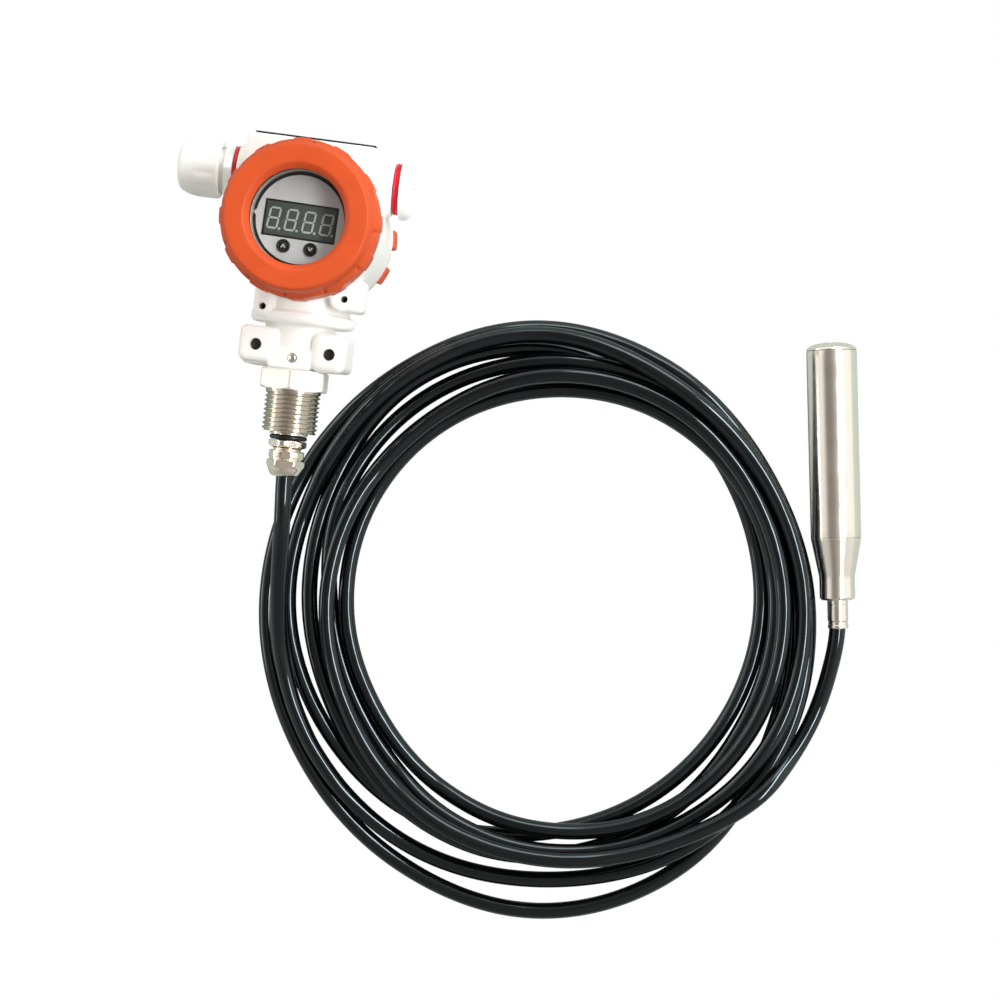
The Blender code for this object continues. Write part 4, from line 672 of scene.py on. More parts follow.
def tube_grid(line, radius, sides):
    """Rings of points round a line: each ring lies across the line's direction, and its first
    point is level with the centre."""
    ahead = np.gradient(line, axis=0)
    ahead /= np.linalg.norm(ahead, axis=1)[:, None]
    side = np.cross([0.0, 0.0, 1.0], ahead)
    side /= np.linalg.norm(side, axis=1)[:, None]
    over = np.cross(ahead, side)
    turn = np.linspace(0.0, 2.0 * math.pi, sides, endpoint=False)
    cosine = np.cos(turn)
    sine = np.sin(turn)
    spokes = cosine[None, :, None] * side[:, None] + sine[None, :, None] * over[:, None]
    rings = line[:, None] + radius * spokes
    run = run_along(line)
    marks = np.empty(rings.shape)
    marks[..., 0] = cosine
    marks[..., 1] = sine
    marks[..., 2] = run[:, None] * MM
    return rings, marks, run


def make_cable():
    """The whole cable as one tube with closed ends."""
    line = cable_route()
    sides = 22
    rings, marks, run = tube_grid(line, CABLE / 2, sides)
    points = np.vstack([rings.reshape(-1, 3), line[0], line[-1]])
    marks = np.vstack([marks.reshape(-1, 3), [0, 0, 0], [0, 0, run[-1] * MM]])
    faces = closed_faces(len(line), sides)
    replaced = ("cable_lead", "cable_coil", "cable_tail")
    cable = put_mesh("cable", points, faces, "cable", "head", replaced, {"sheath": marks}, 60.0)


make_cable()


# Covers

GRIPS = 12
NOTCH_ANGLE = math.radians(8.2)
NOTCH_WIDTH = math.radians(1.5)


def lobes(rise, top, body, notch=0.0, phase=4.0, half=6.4):
    """A cover's rim: twelve raised grips with steep ends that reach half degrees to either side and
    fade out at the top and the foot. Beside each grip a small notch may be sunk into the shoulder.
    Its depth is e to minus the fourth power of the angle, and of the height, from its middle."""

    def shape(angle, radius, height):
        pitch = 2.0 * math.pi / GRIPS
        part = (angle - math.radians(phase) + pitch / 2) % pitch - pitch / 2
        ends = np.clip((math.radians(half) - np.abs(part)) / math.radians(1.0), 0.0, 1.0)
        ends = ends * ends * (3 - 2 * ends)
        fade = np.clip((top - height) / 1.0, 0.0, 1.0) * np.clip(height / 0.9, 0.0, 1.0)
        raised = np.where(radius > body - 1.6, rise * ends * fade, 0.0)
        mark = np.exp(-(((part + NOTCH_ANGLE) / NOTCH_WIDTH) ** 4))
        level = np.exp(-(((height - top - 0.5) / 1.5) ** 4))
        sunk = np.where(radius > body - 2.6, notch * mark * level, 0.0)
        return radius + raised - sunk

    return shape


def cover_rim(body, height):
    """The part of a cover's profile from its threaded skirt to the foot of its shoulder. The thread
    is drawn as six rings, 1.55 mm apart."""
    rim = [(25.5, -13.0), (29.2, -13.0)]
    for i in range(6):
        level = -12.4 + 1.55 * i
        rim += [(29.6, level), (29.05, level + 0.75)]
    rim += [(29.6, -2.8), (28.7, -2.6), (28.7, 0.0), (body - 0.9, 0.0), (body, 0.9), (body, height)]
    return rim


def make_front_cover():
    """The ring cover: grips, sloping shoulder, flat face, and the bevel round the window."""
    profile = cover_rim(37.1, 15.6) + [
        (36.9, 16.6),
        (35.5, 18.3),
        (34.9, 20.5),
        (34.5, 24.6),
        (33.3, 26.4),
        (24.9, 26.4),
        (22.2, 23.6),
        (22.2, 22.2),
        (25.5, 22.2),
    ]
    profile = fine(softened(profile, 0.7, closed=True, steps=3), 2.2)
    place = axes((0, 0, CAP_BASE), (0, 0, 1), (1, 0, 0))
    grips = lobes(0.6, 16.4, 37.1, 1.5)
    lathe("front_cover_shell", profile, "orange", "front_cover_ring", ("front_cover",), place, 480, True,
          grips, 50.0)


def make_rear_cover():
    """The closed cover underneath: broader and deeper grips without notches, and a flat disc face."""
    profile = cover_rim(34.9, 11.0) + [(34.7, 12.4), (33.9, 14.2), (32.6, 17.0), (0.0, 17.0)]
    outside = softened(profile, 0.7, steps=3)
    inside = np.array([(0.0, 13.0), (25.5, 13.0)])
    profile = fine(np.vstack([inside, outside]), 3.0)
    place = axes((0, 0, 17.0), (0, 0, -1), (1, 0, 0))
    grips = lobes(2.4, 12.4, 34.9, 0.0, -4.0, 7.8)
    lathe("rear_cover_shell", profile, "orange", "rear_cover_cap", ("rear_cover",), place, 360, False,
          grips, 50.0)


# Housing


def read_out(mesh):
    """A bmesh as points and faces."""
    mesh.verts.index_update()
    points = np.array([v.co[:] for v in mesh.verts])
    faces = [tuple(v.index for v in f.verts) for f in mesh.faces]
    mesh.free()
    return points, faces


def block_points(low, high, edge, steps=3):
    """A box with rounded edges, as points and faces."""
    mesh = bmesh.new()
    bmesh.ops.create_cube(mesh, size=1.0)
    low = np.array(low, float)
    high = np.array(high, float)
    for vertex in mesh.verts:
        vertex.co = Vector((low + (np.array(vertex.co) + 0.5) * (high - low)).tolist())
    bevel(mesh, list(mesh.edges), edge, steps)
    return read_out(mesh)


def turned_points(profile, at, sides=96):
    """A turned solid as points and faces, its profile from pole to pole."""
    profile = np.asarray(profile, float)
    turn = np.linspace(0.0, 2.0 * math.pi, sides, endpoint=False)
    place, first, second, third = at
    inner = profile[1:-1]
    ring = np.cos(turn)[None, :, None] * first + np.sin(turn)[None, :, None] * second
    points = (place + inner[:, :1, None] * ring + inner[:, 1:, None] * third).reshape(-1, 3)
    points = np.vstack([points, place + profile[0, 1] * third, place + profile[-1, 1] * third])
    return points, closed_faces(len(inner), sides)


def roof_points():
    """The conduit block: a slab with two rounded roof corners and soft rims, tilted a little about
    the drum's axis."""
    half = 33.0
    outline = [(-half, 4.0), (half, 4.0)]
    for side, first, corner in ((1.0, 0.0, 6.0), (-1.0, 90.0, 2.6)):
        for i in range(8):
            angle = math.radians(first + 90.0 * i / 7)
            x = side * (half - corner) + corner * math.cos(angle)
            outline.append((x, ROOF - corner + corner * math.sin(angle)))
    tilt = math.radians(ROOF_TILT)
    x, y = np.array(outline).T
    ring = np.column_stack([x * math.cos(tilt) - y * math.sin(tilt), x * math.sin(tilt) + y * math.cos(tilt)])
    bottom = [(*p, AXIS - ROOF_HALF_HEIGHT) for p in ring]
    top = [(*p, AXIS + ROOF_HALF_HEIGHT) for p in ring]
    mesh = prism(bottom, top)
    bevel(mesh, steep_edges(mesh), 2.4, 4)
    return read_out(mesh)


def rod_points(radius, low, high, at, sides=40):
    """A plain round rod as points and faces."""
    return turned_points([(0.0, low), (radius, low), (radius, high), (0.0, high)], at, sides)


def merged(name, solids):
    """Several solids in one mesh object, in metres."""
    points = []
    faces = []
    base = 0
    for solid_points, solid_faces in solids:
        points.append(solid_points * MM)
        faces += [tuple(int(i) + base for i in f) for f in solid_faces]
        base += len(solid_points)
    mesh = bpy.data.meshes.new(name)
    mesh.from_pydata(np.vstack(points).tolist(), [], faces)
    working = bmesh.new()
    working.from_mesh(mesh)
    bmesh.ops.recalc_face_normals(working, faces=working.faces)
    working.to_mesh(mesh)
    working.free()
    return linked(name, mesh)


def carve(piece, solids):
    """Cuts solids out of a piece, which leaves sharp machined edges."""
    tools = merged(piece.name + "_tools", solids)
    cut = piece.modifiers.new("machining", "BOOLEAN")
    cut.operation = "DIFFERENCE"
    cut.solver = "EXACT"
    cut.object = tools
    evaluated(piece)
    bpy.data.objects.remove(tools)


# The grid on which the casting's solids are fused
CELL = 0.72

# Upright holes in the brackets and the lugs: names and places across the drum's axis
EAR_HOLES = (("ear_hole_left", -18.1, -59.3), ("ear_hole_right", 17.5, -60.6))
LUG_HOLES = (("lug_hole_left", -16.2, -41.1), ("lug_hole_right", 22.5, -33.8))
EAR_HOLE_RADIUS = 2.9
LUG_HOLE_RADIUS = 1.7
EAR_HOLE_FLOOR = 62.0
LUG_HOLE_FLOOR = 60.0
# How high the black filler in each hole reaches above the hole's floor: painted shade that makes the hole's
# inside dark
HOLE_SHADE_FILL_HEIGHT = 9.0


def upright(x, y):
    """The axes of an upright hole or post."""
    return axes((x, y, 0), (0, 0, 1))


def make_housing():
    """The casting: its solids are fused on a fine grid of cells and smoothed, which gives every inner
    corner a cast fillet, and then the machined bores, seats and holes are cut with sharp edges. The
    boxes in the list are the bracket's block, its left and right ear, the bridge between them, the
    left lug and, after the right lug's round post, the right lug."""
    drum = [(0, DRUM_REAR), (36.3, DRUM_REAR), (36.3, DRUM_FRONT), (0, DRUM_FRONT)]
    flange = [(0, 80.6), (36.3, 80.6), (36.9, 81.4), (36.9, 84.6), (36.3, 85.3), (0, 85.3)]
    collar = [(0, 20.0), (22.4, 20.0), (22.4, 41.6), (25.3, 42.2), (25.3, 46.0), (23.8, 47.6), (0, 47.6)]
    boss = softened([(0, 26.0), (13.6, 26.0), (13.6, 37.4), (13.0, 38.0), (0, 38.0)], 0.5)
    post = [(0, 66.0), (5.4, 66.0), (6.2, 66.8), (6.2, 79.2), (5.4, 80.0), (0, 80.0)]
    solids = [
        turned_points(softened(drum, 0.9), UP, 160),
        turned_points(softened(flange, 0.4), UP, 160),
        roof_points(),
        turned_points(boss, LEFT, 96),
        turned_points(boss, RIGHT, 96),
        turned_points(softened(collar, 0.7), axes((0.9, 0, AXIS), (0, -1, 0)), 120),
        turned_points([(0, 40.0), (16.9, 40.0), (16.9, 67.0), (0, 67.0)], NECK, 120),
        block_points((-25.6, -68.6, 37.0), (25.3, -50.8, 68.6), 2.6, 4),
        block_points((-26.4, -67.4, 60.0), (-8.6, -50.2, 75.0), 3.2, 5),
        block_points((8.4, -69.4, 60.0), (25.4, -50.4, 75.0), 4.4, 6),
        block_points((-12.0, -69.6, 60.0), (8.8, -59.6, 73.6), 1.3, 4),
        block_points((-20.9, -45.6, 62.0), (-11.2, -28.0, 79.0), 3.2, 4),
        turned_points(post, upright(21.4, -33.6), 48),
        block_points((21.4, -39.6, 62.0), (32.0, -24.0, 78.6), 2.2, 4),
    ]
    shell = merged("housing_shell", solids)
    remesh = shell.modifiers.new("fuse", "REMESH")
    remesh.mode = "VOXEL"
    remesh.voxel_size = CELL * MM
    smooth = shell.modifiers.new("soften", "SMOOTH")
    smooth.factor = 0.5
    smooth.iterations = 5
    evaluated(shell)
    front_mouth = [(0, 69.0), (30.0, 69.0), (30.0, 82.5), (31.4, 82.5), (31.4, 86.6), (0, 86.6)]
    rear_mouth = [(0, 66.0), (30.0, 66.0), (30.0, 20.1), (31.4, 20.1), (31.4, 16.2), (0, 16.2)]
    cutters = [
        turned_points(front_mouth, UP, 120),
        turned_points(rear_mouth, UP, 120),
        rod_points(9.0, 30.4, 39.2, RIGHT, 64),
        rod_points(9.0, 30.4, 39.2, LEFT, 64),
        rod_points(13.4, 51.7, 70.2, NECK, 90),
        rod_points(2.3, 71.0, 77.0, upright(0, -64.0), 40),
    ]
    holes = [(name, x, y, EAR_HOLE_RADIUS, EAR_HOLE_FLOOR) for name, x, y in EAR_HOLES]
    holes += [(name, x, y, LUG_HOLE_RADIUS, LUG_HOLE_FLOOR) for name, x, y in LUG_HOLES]
    for name, x, y, radius, bottom in holes:
        cutters.append(rod_points(radius, bottom, 82.0, upright(x, y), 40))
    carve(shell, cutters)
    shell.data.materials.clear()
    shell.data.materials.append(MATERIALS["white"])
    settle(shell, "head", ("housing_body",), 42.0)
    # The black pieces named as plugs are painted shade: they fill the lower part of each hole so that its
    # inside looks dark
    for name, x, y, radius, bottom in holes:
        low = bottom + 0.4
        high = bottom + HOLE_SHADE_FILL_HEIGHT
        profile = softened([(0.0, low), (radius, low), (radius, high), (0.0, high)], 0.3)
        lathe(name + "_plug", profile, "black", "head", at=upright(x, y), sides=32)


def make_nameplate():
    """The blank black plate on the roof and two domed rivets."""
    tilt = math.radians(ROOF_TILT)
    along = np.array([math.cos(tilt), math.sin(tilt), 0.0])
    over = np.array([-math.sin(tilt), math.cos(tilt), 0.0])
    roof = axes((0, 0, AXIS), over, along)
    outline = [(-30.4, -16.0), (27.6, -16.0), (27.6, 16.0), (-30.4, 16.0)]
    slab("nameplate_plate", outline, 40.3, 41.7, "black_plate", "head", ("nameplate",), 0.1, roof)
    for name, x in (("left", -25.0), ("right", 25.0)):
        head = softened([(0, 41.6), (1.3, 41.6), (1.2, 42.1), (0.7, 42.4), (0, 42.5)], 0.2)
        at = axes(along * x + (0, 0, AXIS), over, along)
        lathe(f"rivet_{name}", head, "steel", "head", (f"nameplate_rivet_{name}",), at, 32)


# Display

DISPLAY_CENTRE = -0.3
DISPLAY_MIDDLE = -0.75
BUTTON_REACH = 6.4
BUTTON_ROW = -13.2
DISPLAY_PIECES = (
    "faceplate_disc",
    "display_border",
    "display_window",
    "digit_bars",
    "button_cap",
    "button_ring",
    "button_arrow",
)


def display_rectangle(half_width, half_height):
    """The corners of a rectangle round the display's middle."""
    corners = ((-1.0, -1.0), (1.0, -1.0), (1.0, 1.0), (-1.0, 1.0))
    return [(DISPLAY_CENTRE + i * half_width, DISPLAY_MIDDLE + j * half_height) for i, j in corners]


def make_faceplate():
    """The silver disc with a small pointed tab at the left and its three openings."""
    radius = 20.8
    tab_half = math.asin(1.6 / radius)
    tab = math.pi - math.asin(0.8 / radius)
    around = np.linspace(tab + tab_half, tab - tab_half + 2.0 * math.pi, 120)
    outline = np.column_stack([radius * np.cos(around), radius * np.sin(around)])
    outline = np.vstack([outline, [-radius - 1.6, 0.8]]) - (0.5, 0.0)
    plate = slab("faceplate_disc", outline, FACEPLATE - 1.0, FACEPLATE, "faceplate", None)
    openings = [block_points((-17.75, -9.4, 92.0), (17.15, 7.9, 97.0), 0.3)]
    for side in (-1.0, 1.0):
        openings.append(rod_points(2.2, 92, 97, upright(side * BUTTON_REACH, BUTTON_ROW)))
    carve(plate, openings)
    settle(plate, "head", ("display_faceplate",))


def make_display():
    """What shows through the window: plate, display window with digits, buttons, rings and glass."""
    make_faceplate()
    border = display_rectangle(17.35, 8.55)
    slab("display_border", border, 90.4, 94.9, "border", "head", ("display_block",), 0.15)
    slab("display_window", display_rectangle(16.3, 7.7), 94.92, 95.12, "window", "head", edge=0.06)
    make_digits()
    make_buttons()
    turn = Matrix.Rotation(math.radians(DISPLAY_TILT), 4, "Z")
    for piece in bpy.context.scene.objects:
        if piece.name.startswith(DISPLAY_PIECES):
            piece.data.transform(turn)
    ring = [(19.9, 90.2), (23.4, 90.2), (23.4, 94.4), (21.6, 94.4), (21.3, 93.6), (19.9, 93.6)]
    ring = softened(ring, 0.3, True)
    lathe("display_frame_ring", ring, "black", "head", ("display_frame",), UP, 128, True)
    disc = softened([(0, 103.5), (25.2, 103.5), (25.2, 107.5), (0, 107.5)], 0.4)
    lathe("glass_disc", disc, "glass", "front_window_group", ("window_glass",), UP, 128)
    ring = softened([(22.2, 97.2), (25.2, 97.2), (25.2, 103.2), (22.2, 103.2)], 0.35, True)
    lathe("glass_ring", ring, "inner_steel", "front_window_group", ("glass_retaining_ring",), UP, 128, True)


def bar_outline(length, width):
    """A segment bar along X with pointed ends."""
    tip = width / 2
    half = length / 2
    upper = [(half, 0), (half - tip, tip), (-half + tip, tip)]
    return [(-half, 0), (-half + tip, -tip), (half - tip, -tip)] + upper


def make_digits():
    """Four unlit digits of seven pointed bars and a point each, leaning by six and a half degrees."""
    lean = math.tan(math.radians(6.5))
    height = 10.4
    width = 5.5
    bar = 0.88
    gap = 0.25
    digit_pitch = 8.35
    row_shift = -0.2
    dot_radius = 0.6
    low = 95.1
    high = 95.2
    level = height / 2 - bar / 2
    side = width / 2 - bar / 2
    bars = [(0.0, row, width - bar - gap, 0.0) for row in (-level, 0.0, level)]
    for edge in (-side, side):
        for row in (-level / 2, level / 2):
            bars.append((edge, row, level - gap, 90.0))
    pieces = []
    for i in range(4):
        x = (i - 1.5) * digit_pitch + row_shift
        for cx, cy, length, turn in bars:
            angle = math.radians(turn)
            outline = []
            for px, py in bar_outline(length, bar):
                rx = px * math.cos(angle) - py * math.sin(angle) + cx
                ry = px * math.sin(angle) + py * math.cos(angle) + cy
                outline.append((x + rx + ry * lean, DISPLAY_MIDDLE + ry))
            pieces.append(outline)
        dot_x = x + width / 2 + 0.95 - level * lean
        dot_y = DISPLAY_MIDDLE - level
        around = np.linspace(0, 2 * math.pi, 16, endpoint=False)
        pieces.append([(dot_x + dot_radius * math.cos(a), dot_y + dot_radius * math.sin(a)) for a in around])
    points = []
    faces = []
    for outline in pieces:
        count = len(outline)
        base = len(points)
        points += [(x, y, low) for x, y in outline] + [(x, y, high) for x, y in outline]
        faces.append(tuple(base + k for k in range(count))[::-1])
        faces.append(tuple(base + count + k for k in range(count)))
        for k in range(count):
            on = (k + 1) % count
            faces.append((base + k, base + on, base + count + on, base + count + k))
    mesh = bpy.data.meshes.new("digit_bars")
    mesh.from_pydata((np.array(points) * MM).tolist(), [], faces)
    mesh.materials.append(MATERIALS["digits"])
    digits = linked("digit_bars", mesh)
    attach(digits, "head")


def make_buttons():
    """Two domed buttons in black rings, each with a printed arrowhead."""
    for name, x, way in (("up", -BUTTON_REACH, 1.0), ("down", BUTTON_REACH, -1.0)):
        at = axes((x, BUTTON_ROW, 0), (0, 0, 1), (1, 0, 0))
        cap = softened([(0, 90.8), (1.9, 90.8), (1.9, 95.6), (1.5, 96.0), (0, 96.05)], 0.3)
        body = f"button_{name}_cap"
        button = lathe(f"button_cap_{name}", cap, "black", body, (f"button_{name}",), at, 48)
        ring = softened([(2.15, 95.05), (3.2, 95.05), (3.2, 95.6), (2.7, 96.1), (2.3, 95.9)], 0.25, True)
        lathe(f"button_ring_{name}", ring, "black", "head", (f"button_collar_{name}",), at, 64, True)
        top = 96.06
        arrow = [(-1.15, -0.75), (-0.75, -0.95), (0.0, 0.15), (0.75, -0.95), (1.15, -0.75), (0.0, 0.95)]
        outline = [(x + px, BUTTON_ROW + way * py) for px, py in arrow]
        slab(f"button_arrow_{name}", outline, top - 0.06, top + 0.03, "arrows", body)


# Conduits


def fluted(count, depth, low, high):
    """A section shape with shallow hollows between ribs from one height to another."""

    def shape(angle, radius, height):
        wave = 0.5 - 0.5 * np.cos(count * angle)
        fade = np.clip((height - low) / 1.5, 0, 1) * np.clip((high - height) / 2.5, 0, 1)
        return radius - np.where(radius > 9.5, depth * wave**2 * fade, 0.0)

    return shape


def make_side_gland():
    """The white nylon gland at the left: red washer, hexagon, domed nut with shallow ribs, and the
    closed insert in its mouth."""
    washer = softened([(9.3, 38.3), (12.3, 38.3), (12.3, 39.8), (9.3, 39.8)], 0.4, True)
    lathe("gland_washer_red", washer, "red", "head", ("side_gland_washer",), LEFT, 96, True)
    body = [(7.0, 24.0), (8.5, 24.0), (8.5, 40.1), (13.9, 40.1), (13.9, 44.1), (10.3, 44.1), (10.3, 58.4),
            (7.0, 58.4)]
    body = fine(softened(body, 0.5, True), 3.0)
    hexagon = hexagonal(24.1, 0.0, 0.2)
    lathe("side_gland_core", body, "nylon", "head", ("side_gland_body",), LEFT, 180, True, hexagon)
    nut = [(10.8, 46.5), (13.2, 46.5), (13.9, 47.3), (13.9, 56.5), (13.2, 61.0), (11.6, 65.2), (9.4, 67.0),
           (7.3, 67.0), (7.3, 58.9), (10.8, 58.9)]
    nut = fine(softened(nut, 1.3, True, 5), 1.2)
    ribs = fluted(12, 0.45, 47.5, 59.0)
    lathe("side_gland_cap", nut, "nylon", "side_nut", ("side_gland_nut",), LEFT, 216, True, ribs)
    insert = softened([(0, 51.1), (6.6, 51.1), (6.6, 65.6), (5.4, 66.1), (0, 66.1)], 0.5)
    lathe("side_gland_filler", insert, "rubber", "side_insert_group", ("side_gland_insert",), LEFT, 64)


def make_plug():
    """The white mushroom plug at the right with a screwdriver slot, and its red washer of two
    ridges."""
    washer = [(9.3, 38.3), (11.9, 38.3), (12.5, 38.8), (12.3, 39.3), (11.7, 39.6), (12.3, 39.9), (12.5, 40.4),
              (11.9, 40.9), (9.3, 40.9)]
    washer = softened(washer, 0.2, True)
    lathe("plug_washer_red", washer, "red", "plug_washer", ("blanking_plug_washer",), RIGHT, 96, True)
    plug = [(0, 24.0), (8.6, 24.0), (8.6, 41.2), (13.9, 41.2), (14.65, 42.0), (14.65, 43.8), (14.1, 45.6),
            (12.4, 46.9), (9.6, 47.4), (0, 47.4)]
    head = lathe("plug_cap", fine(softened(plug, 0.8), 2.5), "nylon", None, (), RIGHT, 144)
    carve(head, [block_points((45.6, CONDUIT - 1.1, AXIS - 8), (50, CONDUIT + 1.1, AXIS + 8), 0.4)])
    settle(head, "plug", ("blanking_plug",))


# Connector and cable gland

HEX_START, HEX_END = 69.3, 79.1
THREAD_START, THREAD_END = 80.0, 99.8
THREAD_PITCH = 2.2
THREAD_RADIUS = 13.5
THREAD_DEPTH = 1.25


def make_connector():
    """The steel connector: hexagon with a corner on top, a helical thread whose depth follows a
    rounded saw wave of height minus angle, and a plain step."""
    half = [(0, HEX_START), (16.0, HEX_START), (18.2, HEX_START + 1.2)]
    nut = fine(softened(half + [(18.2, HEX_END - 1.2), (16.0, HEX_END), (0, HEX_END)], 0.25), 2.0)
    hexagon = hexagonal(30.8, 0.0, 0.35)
    lathe("connector_hexagon", nut, "bright_steel", "head", (), NECK, 360, False, hexagon)
    spigot = softened([(4.8, 52.0), (13.0, 52.0), (13.0, 70.5), (4.8, 70.5)], 0.4, True)
    lathe("connector_spigot", spigot, "thread_steel", "head", (), NECK, 96, True)

    steps = np.arange(HEX_END, THREAD_END + 0.01, 0.11)
    height = np.concatenate([[HEX_END - 0.4], steps, [THREAD_END + 0.05]])
    profile = np.column_stack([np.full(len(height), THREAD_RADIUS), height])
    ends = np.array([(9.2, THREAD_END + 0.05), (9.2, 100.9), (6.1, 100.9), (6.1, 92.0), (4.8, 92.0)])
    start = np.array([(4.8, HEX_END - 0.4)])
    profile = np.vstack([start, profile, ends])

    def thread(angle, radius, level):
        phase = (level / THREAD_PITCH - angle / (2 * math.pi)) % 1.0
        wave = np.abs(2.0 * phase - 1.0)
        depth = THREAD_DEPTH * np.clip(wave * 1.25 - 0.12, 0.0, 1.0)
        fade = np.clip((level - THREAD_START + 0.2) / 1.4, 0.0, 1.0)
        chamfer = np.clip(level - (THREAD_END - 1.0), 0.0, 1.2)
        cut = np.minimum(THREAD_RADIUS - depth * fade, THREAD_RADIUS - chamfer)
        return np.where(radius > THREAD_RADIUS - 0.5, cut, radius)

    lathe("connector_thread", profile, "thread_steel", "head", ("process_connector",), NECK, 144, True,
          thread, 60.0)
    make_set_screw()


def make_set_screw():
    """The small locking screw in the neck, with a hexagonal socket."""
    screw = [(0, 69.6), (1.95, 69.6), (1.95, 73.6), (1.4, 74.0), (1.05, 74.0), (0.95, 72.2), (0, 72.2)]
    hexagon = hexagonal(2.1, 0.0, 0.0)

    def socket(angle, radius, height):
        inside = (radius < 1.2) & (height > 72.1)
        return np.where(inside, hexagon(angle, radius * 1.2, height), radius)

    place = upright(0, -64.0)
    lathe("set_screw", softened(screw, 0.15), "nickel", "head", ("neck_set_screw",), place, 60, False, socket)


def partly(section, chosen):
    """A section shape that holds only where a test of radius and height is true."""

    def shape(angle, radius, height):
        return np.where(chosen(radius, height), section(angle, radius, height), radius)

    return shape


def make_cable_gland():
    """The nickel gland: black seal, hexagonal body with a sloping foot, hexagonal nut with a domed
    mouth, and the rubber grommet inside."""
    turn = np.linspace(0, 2 * math.pi, 24, endpoint=False)
    seal = np.column_stack([7.9 + 1.25 * np.cos(turn), 102.3 + 1.2 * np.sin(turn)])
    lathe("gland_seal", seal, "rubber", "head", ("gland_o_ring",), NECK, 96, True)
    body = [(4.5, 92.3), (5.7, 92.3), (5.7, 103.7), (8.6, 103.7), (9.25, 104.2), (9.25, 106.4), (8.2, 107.1),
            (6.9, 107.5), (6.6, 108.2), (6.5, 112.9), (4.5, 112.9)]
    body = fine(softened(body, 0.35, True), 1.0)
    flats = partly(hexagonal(17.0, math.radians(12.0), 0.25), lambda radius, height: radius > 7.6)
    lathe("gland_core", body, "nickel", "head", ("gland_body",), NECK, 240, True, flats)
    nut = [(6.9, 108.7), (7.9, 108.7), (8.6, 109.3), (8.6, 112.2), (8.0, 112.7), (8.0, 113.2), (9.3, 113.8),
           (9.3, 116.0), (8.6, 117.2), (8.1, 118.6), (7.2, 120.4), (5.8, 121.4), (4.6, 121.4), (4.6, 119.6),
           (6.9, 119.6)]
    nut = fine(softened(nut, 0.45, True), 0.8)
    flats = partly(
        hexagonal(16.6, math.radians(24.0), 0.25),
        lambda radius, height: (radius > 7.6) & (height < 118.0),
    )
    lathe("gland_cap", nut, "nickel", "cable_gland_nut", ("gland_nut",), NECK, 240, True, flats)
    grommet = softened([(4.4, 113.3), (6.55, 113.3), (6.55, 118.8), (4.4, 118.8)], 0.3, True)
    lathe("gland_bush", grommet, "rubber", "cable_grommet", ("gland_grommet",), NECK, 64, True)


# Probe

PROBE_TIP = (260.8, -24.0, 12.6)
HEADING = math.radians(-81.85)
PROBE = axes(PROBE_TIP, (math.cos(HEADING), math.sin(HEADING), 0.0))
INLETS = 5
INLET_CIRCLE = 4.8


def make_probe():
    """The steel probe: nose cap with inlet holes, polished tube, tapered tail with a crimped sleeve."""
    nose = [(0, 0.0), (4.0, 0.1), (7.5, 0.6), (10.0, 1.4), (12.1, 2.8), (12.6, 4.0), (10.6, 4.0),
            (10.6, 13.0), (8.5, 13.0), (8.5, 3.0), (0, 2.5)]
    cap = lathe("probe_nose_cap", fine(softened(nose, 0.4), 2.0), "steel", None, (), PROBE, 128)
    place, first, second, third = PROBE
    holes = []
    for i in range(INLETS):
        angle = 2.0 * math.pi * i / INLETS + 0.09
        centre = place + INLET_CIRCLE * (math.cos(angle) * first + math.sin(angle) * second)
        holes.append(rod_points(1.2, -2.0, 6.0, (centre, first, second, third), 32))
    carve(cap, holes)
    settle(cap, "head", ("probe_nose",))
    tube = softened([(10.9, 4.2), (12.6, 4.2), (12.6, 98.1), (10.9, 98.1)], 0.18, True, 3)
    lathe("probe_body_tube", fine(tube, 4.0), "steel", "head", ("probe_tube",), PROBE, 160, True)
    tail = [(4.0, 92.0), (10.6, 92.0), (10.6, 98.2), (12.6, 98.2), (12.5, 99.0), (9.0, 117.0), (8.85, 118.4),
            (8.85, 128.4), (7.9, 129.4), (5.45, 129.4), (5.45, 110.0), (4.0, 110.0)]
    tail = fine(softened(tail, 0.35, True), 2.0)
    lathe("probe_tail_cone", tail, "steel", "head", ("probe_tail",), PROBE, 160, True)
    sleeve = [(4.4, 119.0), (5.15, 119.0), (5.15, 131.6), (5.0, 132.0), (5.15, 132.4), (5.15, 139.8),
              (4.85, 140.3), (4.85, 141.8), (5.15, 142.3), (5.15, 143.4), (4.9, 143.8), (4.4, 143.8)]
    sleeve = fine(softened(sleeve, 0.2, True), 2.0)
    lathe("probe_crimp_sleeve", sleeve, "steel", "head", ("probe_sleeve",), PROBE, 96, True)


# Pieces inside


def dress_inner_nodes():
    """Gives the CAD pieces that stay, all inside the housing and the probe, their materials."""
    finishes = {
        "front_cover_o_ring": "rubber",
        "rear_cover_o_ring": "rubber",
        "display_board": "board",
        "board_spacer": "nickel",
        "electronics_module": "potting",
        "terminal_block": "black",
        "terminal_screw_1": "nickel",
        "terminal_screw_2": "nickel",
        "terminal_screw_3": "nickel",
        "probe_cable_bush": "rubber",
        "sensor_capsule": "nickel",
        "sensor_o_ring": "rubber",
        "probe_circuit_board": "board",
    }
    for name, finish in finishes.items():
        for slot in frame["nodes"][name].material_slots:
            slot.material = MATERIALS[finish]


# Stage

WHITE = (1.0, 1.0, 1.0, 1.0)
LIGHT_TARGET = (0.12, -0.08, 0.03)


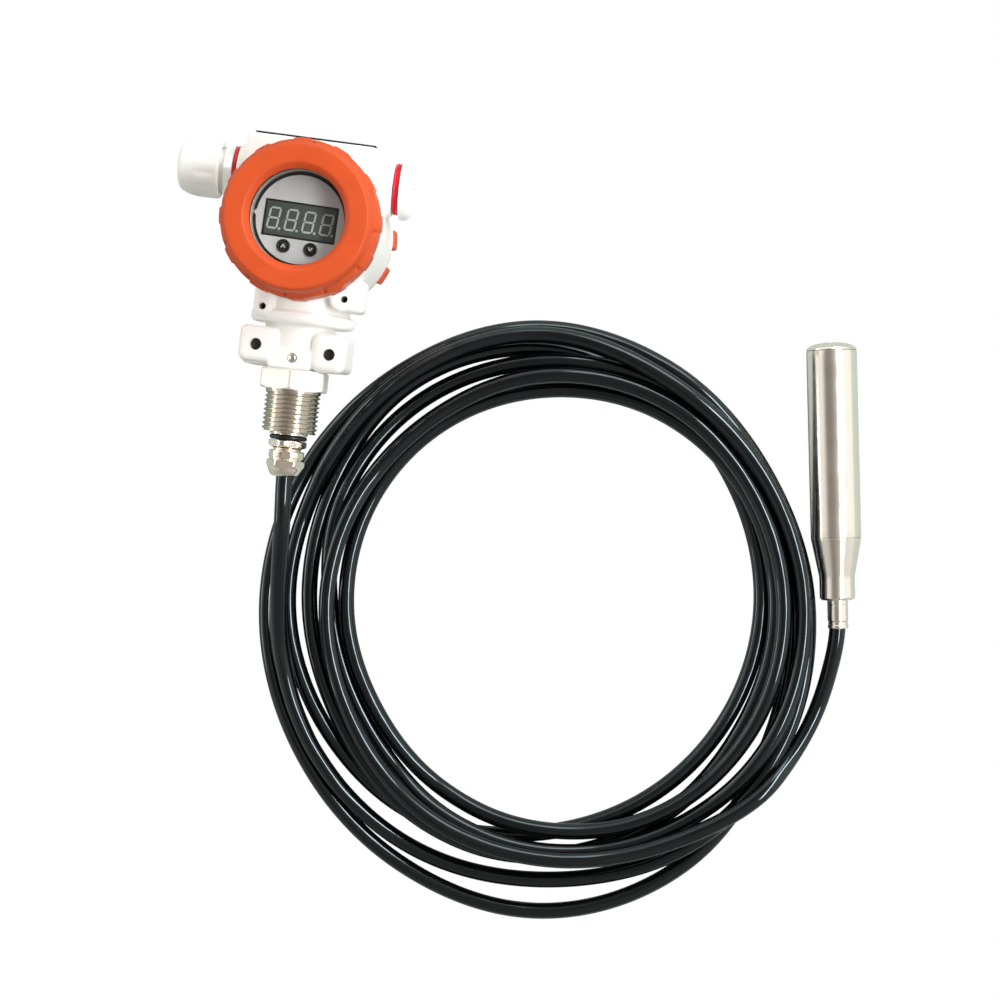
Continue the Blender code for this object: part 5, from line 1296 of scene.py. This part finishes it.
def make_floor():
    """A plain floor, 12 m wide, just under the object. The camera sees clean white paper, and
    everything else sees a green grey, which tints the light that comes back up."""
    mesh = bpy.data.meshes.new("floor")
    reach = 6.0
    corners = [(-reach, -reach, 0), (reach, -reach, 0), (reach, reach, 0), (-reach, reach, 0)]
    mesh.from_pydata(corners, [], [(0, 1, 2, 3)])
    floor = linked("floor", mesh)
    floor.location.z = -0.2 * MM
    material, tree, shader = new_material("pale_paper_floor", "#a6b1ab", 0.9)
    white = add(tree, "ShaderNodeEmission", {"Color": WHITE, "Strength": 1.0}).outputs["Emission"]
    seen = add(tree, "ShaderNodeLightPath").outputs["Is Camera Ray"]
    mix = add(tree, "ShaderNodeMixShader", {"Fac": seen, 1: shader.outputs["BSDF"], 2: white})
    tree.links.new(mix.outputs["Shader"], tree.nodes["Material Output"].inputs["Surface"])
    mesh.materials.append(material)


def make_world():
    """The room: a warm ceiling that is dimmer at the left, bright walls, and a darker wall on the
    viewer's side. The camera itself sees white."""
    world = bpy.data.worlds.new("studio")
    bpy.context.scene.world = world
    world.use_nodes = True
    tree = world.node_tree
    tree.nodes.clear()
    direction = add(tree, "ShaderNodeTexCoord").outputs["Generated"]
    split = add(tree, "ShaderNodeSeparateXYZ", {"Vector": direction})
    near = spread(tree, split.outputs["Y"], 0.34, 1.12, -0.8, 0.1)
    above = spread(tree, split.outputs["X"], 0.24, 0.52, -0.25, 0.40)
    high = spread(tree, split.outputs["Z"], 0.0, 1.0, 0.60, 0.80)
    lit = []
    for color, strength in (((1.0, 0.97, 0.93, 1.0), near), ((1.0, 0.93, 0.84, 1.0), above), (WHITE, 1.0)):
        background = add(tree, "ShaderNodeBackground", {"Color": color, "Strength": strength})
        lit.append(background.outputs["Background"])
    walls, ceiling, white = lit
    room = add(tree, "ShaderNodeMixShader", {"Fac": high, 1: walls, 2: ceiling}).outputs["Shader"]
    seen = add(tree, "ShaderNodeLightPath").outputs["Is Camera Ray"]
    view = add(tree, "ShaderNodeMixShader", {"Fac": seen, 1: room, 2: white}).outputs["Shader"]
    add(tree, "ShaderNodeOutputWorld", {"Surface": view})


def light_box(name, place, width, length, radiance, tint):
    """A rectangular light whose long side lies level; its power is radiance times pi times area.
    Its place, width and length are in metres."""
    data = bpy.data.lights.new(name, "AREA")
    data.shape = "RECTANGLE"
    data.size = width
    data.size_y = length
    data.energy = radiance * math.pi * width * length
    data.color = tint
    light = linked(name, data)
    aim = (Vector(place) - Vector(LIGHT_TARGET)).normalized()
    level = Vector((0.0, 1.0, 0.0))
    across = level.cross(aim).normalized()
    level = aim.cross(across)
    light.matrix_world = placed((across, level, aim), place)


def make_lights():
    """A bright tube high at the right, a dimmer one low at the left, and a box beyond the roof."""
    light_box("high_tube", (0.78, 0.10, 1.00), 0.20, 1.3, 18.0, (0.98, 0.99, 1.0))
    light_box("low_tube", (-1.25, 0.0, 0.25), 0.20, 1.5, 5.0, (0.97, 1.0, 0.97))
    light_box("far_box", (0.40, 1.30, 0.85), 1.0, 0.5, 4.0, (1.0, 1.0, 0.98))


def set_view():
    """Colours as they are, with no look, exposure or gamma on top."""
    scene = bpy.context.scene
    scene.view_settings.view_transform = "Standard"
    scene.view_settings.look = "None"
    scene.view_settings.exposure = 0.0
    scene.view_settings.gamma = 1.0


def build():
    """Everything but the camera and the cable, which are made above."""
    make_front_cover()
    make_rear_cover()
    make_housing()
    make_nameplate()
    make_display()
    make_side_gland()
    make_plug()
    make_connector()
    make_cable_gland()
    make_probe()
    dress_inner_nodes()
    make_floor()
    make_world()
    make_lights()
    set_view()


build()
